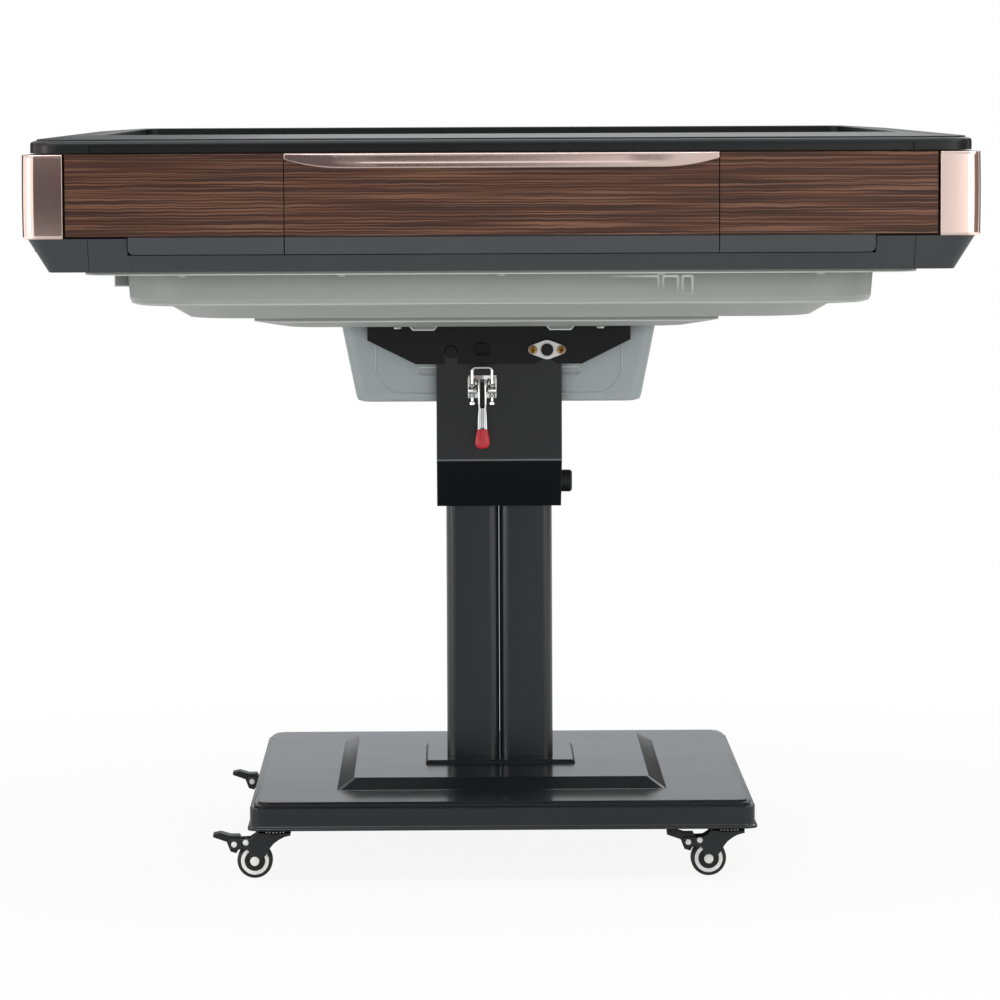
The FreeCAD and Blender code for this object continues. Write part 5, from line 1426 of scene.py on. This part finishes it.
@dataclass
class ToggleLatch:
    """Over-centre latch on the front cheek: plate, channel lever with a red grip, and loop bolt."""

    middle_x: float = -18.5
    cheek_face: float = -100.0
    plate_face: float = -102.0
    plate_half: float = 15.5
    plate_low: float = 505.0
    plate_high: float = 530.0
    lip_inner: float = 13.7
    lip_deep: float = 3.0
    ear_inner: float = 6.1
    ear_outer: float = 7.9
    ear_half: float = 4.4
    sunk: float = 0.5
    rivet_reach: float = 10.6
    pin_y: float = -108.0
    pin_z: float = 522.0
    bar_y: float = -112.0
    bar_z: float = 514.0
    loop_half: float = 10.9
    loop_bend: float = 4.0
    loop_low: float = 499.0
    loop_top: float = 539.0
    rod: float = 1.6
    grip_square: float = 0.75
    grip_steps: int = 32

    def build(self, repeats: Repeats) -> None:
        """Build the latch in place of its plain nodes.

        Args:
            repeats: What places the rivets.
        """
        self.build_plate(repeats)
        self.build_lever()
        self.build_grip()
        self.build_loop()

    def build_plate(self, repeats: Repeats) -> None:
        """Press a plate with folded side lips and two ears, and set its round-headed rivets.

        Args:
            repeats: What places the rivets.
        """
        plate = Form()
        x, seat = self.middle_x, self.plate_face + self.sunk
        plate.block(
            (x - self.plate_half, self.plate_face, self.plate_low),
            (x + self.plate_half, self.cheek_face, self.plate_high),
        )
        for side in SIDES:
            lip = sorted((x + side * self.lip_inner, x + side * self.plate_half))
            plate.block(
                (lip[0], self.plate_face - self.lip_deep, self.plate_low + 1.0), (lip[1], seat, self.plate_high - 1.0)
            )
            ear = sorted((x + side * self.ear_inner, x + side * self.ear_outer))
            plate.block((ear[0], self.pin_y, self.pin_z - self.ear_half), (ear[1], seat, self.pin_z + self.ear_half))
            plate.turn(
                [(0, 0), (self.ear_half, 0), (self.ear_half, 1.8), (0, 1.8)], (ear[0], self.pin_y, self.pin_z), Axis.X
            )
        plate.turn(mirrored([(0, -9.0), (1.8, -9.0), (2.4, -8.0)]), (x, self.pin_y, self.pin_z), Axis.X, 24)
        plate.add("latch_plate", "pedestal", CHROME, "chrome_steel", ["latch_base"], soften=0.35)
        rivet = Form()
        rivet.turn([(0, 0), (2.2, 0), (2.1, 0.6), (1.4, 1.2), (0, 1.5)], (0, 0, 0), Axis.Z, 20)
        points = [
            (x + side * self.rivet_reach, self.plate_face, level) for side in SIDES
            for level in (self.plate_low + 3.5, self.plate_high - 3.5)
        ]
        repeats.add_fasteners(
            "latch_rivets", rivet.mesh("rivet"), points, Facing.FRONT, "pedestal", CHROME
        )

    def build_lever(self) -> None:
        """Fold the channel lever: open in front round the pins, then a rounded handle with a shallow flute."""
        x = self.middle_x
        rings = []
        for level, wide, front, back, slot, deep in (
            (526.2, 3.6, -114.0, -106.4, 2.0, 5.4),
            (524.0, 4.6, -115.6, -105.2, 2.3, 8.2),
            (514.0, 4.8, -116.3, -104.8, 2.4, 9.2),
            (500.0, 4.7, -115.4, -105.4, 2.4, 7.6),
            (495.6, 4.5, -113.8, -105.8, 2.2, 5.4),
            (494.4, 4.4, -113.2, -105.9, 1.6, 3.6),
            (484.0, 4.9, -111.4, -105.8, 1.8, 3.6),
            (470.0, 5.4, -110.6, -105.9, 2.0, 3.2),
            (458.0, 5.0, -110.2, -106.2, 1.4, 2.0),
        ):
            side = [
                (wide, back), (wide, front + 1.2), (wide - 0.5, front + 0.4), ((wide + slot) / 2, front),
                (slot + 0.4, front + 0.4), (slot, front + 1.2), (slot * 0.9, front + deep),
            ]
            rings.append([(x + out, y, level) for out, y in side] + [(x - out, y, level) for out, y in side[::-1]])
        lever = Form()
        lever.loft(rings)
        lever.add("latch_handle", "lever", CHROME, "chrome_steel", ["latch_lever"])
        # Painted shade: a dark block fills the lever's slot so that it reads dark.
        link = Form()
        link.block((x - 1.9, -114.4, 496.8), (x + 1.9, -108.2, 523.0))
        link.add("latch_link", "lever", DARK_STEEL, "black_steel", soften=0.4)

    def build_grip(self) -> None:
        """Dip a drop-shaped grip with a rounded front."""
        rings = []
        for level, wide, thick in (
            (471.6, 4.9, 2.7), (471.4, 5.8, 3.2), (469.5, 6.2, 3.5), (465.0, 7.2, 4.0), (460.5, 8.0, 4.4),
            (457.0, 8.25, 4.5), (454.0, 7.8, 4.3), (451.8, 6.4, 3.6), (450.5, 4.4, 2.6), (450.0, 2.2, 1.4),
        ):
            ring = []
            for step in range(self.grip_steps):
                angle = math.tau * step / self.grip_steps
                out, deep = [
                    math.copysign(abs(part) ** self.grip_square, part) for part in (math.cos(angle), math.sin(angle))
                ]
                ring.append((self.middle_x + wide * out, self.pin_y + thick * deep, level))
            rings.append(ring)
        grip = Form()
        grip.loft(rings)
        grip.add("latch_red_grip", "lever", RED_VINYL, "red_vinyl", ["latch_grip"])

    def build_loop(self) -> None:
        """Bend the rod, with its cross bar, hexagon nuts and pointed ends."""
        x, half, bend = self.middle_x, self.loop_half, self.loop_bend
        path = [(x - half, self.bar_y, self.loop_low)]
        for start, centre in ((math.pi, x - half + bend), (QUARTER, x + half - bend)):
            for step in range(7):
                angle = start - QUARTER * step / 6
                path.append((
                    centre + bend * math.cos(angle), self.bar_y, self.loop_top - bend + bend * math.sin(angle),
                ))
        path.append((x + half, self.bar_y, self.loop_low))
        loop = Form()
        loop.tube(path, self.rod)
        bar = mirrored([(0, -15.0), (3.0, -15.0), (3.6, -14.2), (3.6, -6.2), (1.8, -5.6)])
        loop.turn(bar, (x, self.bar_y, self.bar_z), Axis.X, 28)
        tip = [(0, 495.8), (1.4, 497.0), (3.2, 498.6), (3.2, 501.2), (2.6, 501.8), (0, 501.8)]
        for side in SIDES:
            at = (x + side * half, self.bar_y, 0.0)
            for low in (506.6, 518.0):
                nut = [(0, 0.0), (2.8, 0.0), (3.25, 0.4), (3.25, 2.4), (2.8, 2.8), (0, 2.8)]
                loop.turn([(wide, low + up) for wide, up in nut], at, Axis.Z, 6)
            loop.turn(tip, at, Axis.Z, 12)
        loop.add("latch_loop_bolt", "loop", CHROME, "chrome_steel", ["latch_loop"])


@dataclass
class Pedestal:
    """Twin-tube column and enamelled base."""

    tube_offset: float = 29.5
    tube_half_x: float = 29.1
    tube_half_y: float = 40.0
    tube_corner: float = 11.0
    tube_steps: int = 14
    tube_low: float = 102.5
    tube_high: float = 428.0
    # Rods of painted highlight along the sleeve's bends: place, half length and thickness.
    bend_y: float = 98.9
    bend_z: float = 437.2
    bend_half: float = 68.3
    bend_radius: float = 1.4
    base_deeper: float = 22.0
    base_corner: float = 14.0
    step_reach: float = 200.0
    step_deeper: float = 18.0
    step_corner: float = 6.0
    crease_deg: float = 12.0

    def build_column(self) -> None:
        """Stand the two tubes side by side, and lay a lighter grey rod along each bend of the sleeve as a painted
        highlight.
        """
        tubes = Form()
        for side in SIDES:
            tubes.loft([
                [(x + side * self.tube_offset, y, z) for x, y, z in rounded_ring(
                    self.tube_half_x, self.tube_half_y, self.tube_corner, level, self.tube_steps
                )]
                for level in (self.tube_low, self.tube_high)
            ])
        tubes.add("column_pair", "pedestal", COLUMN_COAT, "black_steel", ["column_tubes"])
        # Painted highlight: lighter grey rods stand in for the light that the sleeve's rounded bends catch.
        bends = Form()
        for side in SIDES:
            ends = [(end * self.bend_half, side * self.bend_y, self.bend_z) for end in SIDES]
            bends.tube(ends, self.bend_radius)
        bends.add("sleeve_bends", "pedestal", BEND_HIGHLIGHT_COAT, "black_steel")

    def build_base(self) -> None:
        """Press the base cover: a turned lip, two grooves and chamfers round the edge, and a raised step."""
        inner_step = [(158.0, 96.9), (175.0, 86.4)]
        edge = [
            (260.0, 85.4), (263.0, 79.0), (266.5, 77.0), (266.5, 58.4), (271.0, 58.4), (271.0, 60.2), (270.6, 61.0),
            (269.2, 61.9), (268.5, 62.9), (268.5, 81.0), (267.0, 82.4), (265.4, 82.5), (263.2, 82.7),
            (263.2, 83.8), (264.6, 84.2), (264.6, 84.5), (263.1, 85.9), (261.6, 86.0), (259.6, 86.1),
            (259.6, 86.9), (260.4, 87.1), (260.4, 87.4), (260.0, 87.7), (259.4, 87.75), (257.4, 87.75),
        ]
        outer_step = [(181.0, 87.75), (178.4, 87.75), (177.6, 88.0), (160.6, 98.3), (159.6, 98.9)]
        rings = []
        for half, level in inner_step + edge + outer_step:
            deeper, corner = self.base_deeper, self.base_corner
            if half < self.step_reach:
                deeper, corner = self.step_deeper, self.step_corner
            rings.append(rounded_ring(half, half + deeper, corner, level))
        base = Form()
        base.loft(rings)
        base.add(
            "base_shell", "pedestal", BASE_COAT, "base_paint", ["base_cover"], crease_deg=self.crease_deg
        )


@dataclass
class Casters:
    """Four swivel casters: ringed wheels, riveted forks, ball races and swivel discs."""

    reach_x: float = 243.0
    reach_y: float = 235.0
    trail: float = 22.0
    wheel_radius: float = 19.0
    wheel_half: float = 8.5
    fork_inner: float = 9.5
    fork_face: float = 11.5
    fork_front: float = -18.0
    fork_back: float = 16.5
    fork_low: float = 49.1
    fork_top: float = 51.6
    lug: float = 5.5
    balls: int = 26
    ball_radius: float = 1.1
    race_radius: float = 15.4
    race_z: float = 50.4
    # Axle and brake rivets: place along the fork, height, radius of the shank and of the cap.
    rivets: Sequence[Point] = ((-22.0, 19.0, 2.9, 5.0), (-44.0, 37.3, 1.9, 3.2), (-31.6, 39.3, 1.9, 3.2))

    def build(self, repeats: Repeats) -> None:
        """Build the wheels, forks, caps, discs and races of all four.

        Args:
            repeats: What places the balls.
        """
        for number in range(1, 5):
            x = self.reach_x if number in (2, 4) else -self.reach_x
            y = self.reach_y if number > 2 else -self.reach_y
            self.build_wheel(number, x - self.trail, y)
            self.build_fork(number, x, y)
            self.build_caps(number, x, y)
            self.build_swivel(number, (x, y, 0.0))
            mesh = repeats.grow(repeats.race, f"caster_race_{number}", [(0, 0, 0)], {
                "Count": self.balls, "Ring Radius": self.race_radius * MM, "Ball Radius": self.ball_radius * MM,
                "Centre": tuple(Vector((x, y, self.race_z)) * MM), "Finish": ZINC.material(),
            })
            add_piece(f"caster_race_{number}", mesh, f"caster_{number}", ZINC)

    @staticmethod
    def build_swivel(number: int, at: Point) -> None:
        """Put a pressed disc above and below the balls of a swivel.

        Args:
            number: Which caster.
            at: Foot of the swivel axis on the floor.
        """
        for name, body, low, high in (
            ("caster_cup", "pedestal", 51.9, 53.2), ("caster_race_plate", f"caster_{number}", 47.2, 49.3),
        ):
            disc = Form()
            disc.turn([
                (9.0, low), (15.6, low), (16.4, low + 0.5), (16.4, high - 0.5), (15.6, high), (9.0, high),
            ], at, Axis.Z, 48)
            disc.add(f"{name}_{number}", body, BLACK_COAT, "black_steel")

    def build_wheel(self, number: int, x: float, y: float) -> None:
        """Turn one wheel: a tyre with rounded shoulders, a pale ring on each side and a dished hub.

        Args:
            number: Which caster.
            x: Place of the axle.
            y: Middle of the tread.
        """
        big, half = self.wheel_radius, self.wheel_half
        tyre = [(15.0, -half), (16.8, -half), (18.1, 0.9 - half), (18.8, 2.4 - half), (big, 4.2 - half)]
        ring = [(11.0, -half), (15.0, -half)]
        hub = [(3.1, -half), (6.4, -half), (7.2, 1.6 - half), (10.4, 1.6 - half), (11.0, 0.8 - half)]
        for name, profile, steps, soften, finish, stands_for in (
            ("tyre", tyre, 56, 0.0, TYRE_RUBBER, [f"caster_wheel_{number}"]),
            ("ring", ring, 56, 0.3, CAP_NYLON, []),
            ("hub", hub, 48, 0.0, TYRE_RUBBER, []),
        ):
            part = Form()
            part.turn(mirrored(profile), (x, y, big), Axis.Y, steps)
            part.add(f"caster_{name}_{number}", f"wheel_{number}", finish, "caster_tread", stands_for, soften)

    def build_fork(self, number: int, x: float, y: float) -> None:
        """Press one fork: two legs with a hollow front edge, a top plate, the axle and two brake rivets.

        Args:
            number: Which caster.
            x: Place of the swivel axis.
            y: Middle of the fork.
        """
        axle_x, axle_z = self.rivets[0][:2]
        angles = [math.pi * step / 10 for step in range(1, 10)]
        outline = [
            (-18.0, 51.6), (-22.5, 46.4), (-27.5, 43.2), (-33.0, 42.8), (-47.5, 42.8), (-49.0, 42.0), (-49.5, 40.4),
            (-49.5, 34.2), (-49.0, 32.6), (-47.5, 31.8), (-30.0, 31.6), (-28.2, 29.4), (-27.5, 26.0), (-27.5, 19.0),
            *[(axle_x - self.lug * math.cos(angle), axle_z - self.lug * math.sin(angle)) for angle in angles],
            (-16.5, 19.0), (-14.6, 21.6), (-11.0, 24.4), (-8.0, 28.4), (-5.4, 33.2), (-1.6, 37.8), (4.0, 42.0),
            (10.0, 45.0), (16.5, 46.6), (16.5, 51.6),
        ]
        face = self.fork_face
        fork = Form()
        for side in SIDES:
            fork.loft([[(x + out, y + side * deep, z) for out, z in outline] for deep in (self.fork_inner, face)])
        fork.block((x + self.fork_front, y - face, self.fork_low), (x + self.fork_back, y + face, self.fork_top))
        for out, z, radius, _ in self.rivets:
            fork.turn(mirrored([(0, -face), (radius, -face)]), (x + out, y, z), Axis.Y, 20)
        fork.add(f"caster_yoke_{number}", f"caster_{number}", BLACK_COAT, "black_steel", [f"caster_fork_{number}"])

    def build_caps(self, number: int, x: float, y: float) -> None:
        """Cap the axle and the two brake rivets on both sides of a fork.

        Args:
            number: Which caster.
            x: Place of the swivel axis.
            y: Middle of the fork.
        """
        caps = Form()
        for side in SIDES:
            for out, z, _, radius in self.rivets:
                dome = [(0, 0), (radius, 0), (radius, 1.0), (radius * 0.86, 1.7), (radius * 0.5, 2.0), (0, 2.1)]
                at = (x + out, y + side * self.fork_face, z)
                caps.turn([(wide, side * high) for wide, high in dome], at, Axis.Y, 24)
        caps.add(f"caster_caps_{number}", f"caster_{number}", CAP_NYLON, "zinc_steel")


def main() -> None:
    """Build the studio and the table, piece by piece."""
    logging.basicConfig(level=logging.INFO, format="%(name)s: %(message)s")
    Studio().build()
    dress_nodes()
    repeats = Repeats()
    top = TopFrame()
    top.build_rim()
    top.build_posts()
    Drawers().build_pulls()
    PlayingCloth().build()
    belly = Belly()
    belly.build_screws(repeats)
    belly.build_pins()
    HingeBrackets().build_screws(repeats)
    ToggleLatch().build(repeats)
    pedestal = Pedestal()
    pedestal.build_column()
    pedestal.build_base()
    Casters().build(repeats)


if __name__ == "__main__":
    main()
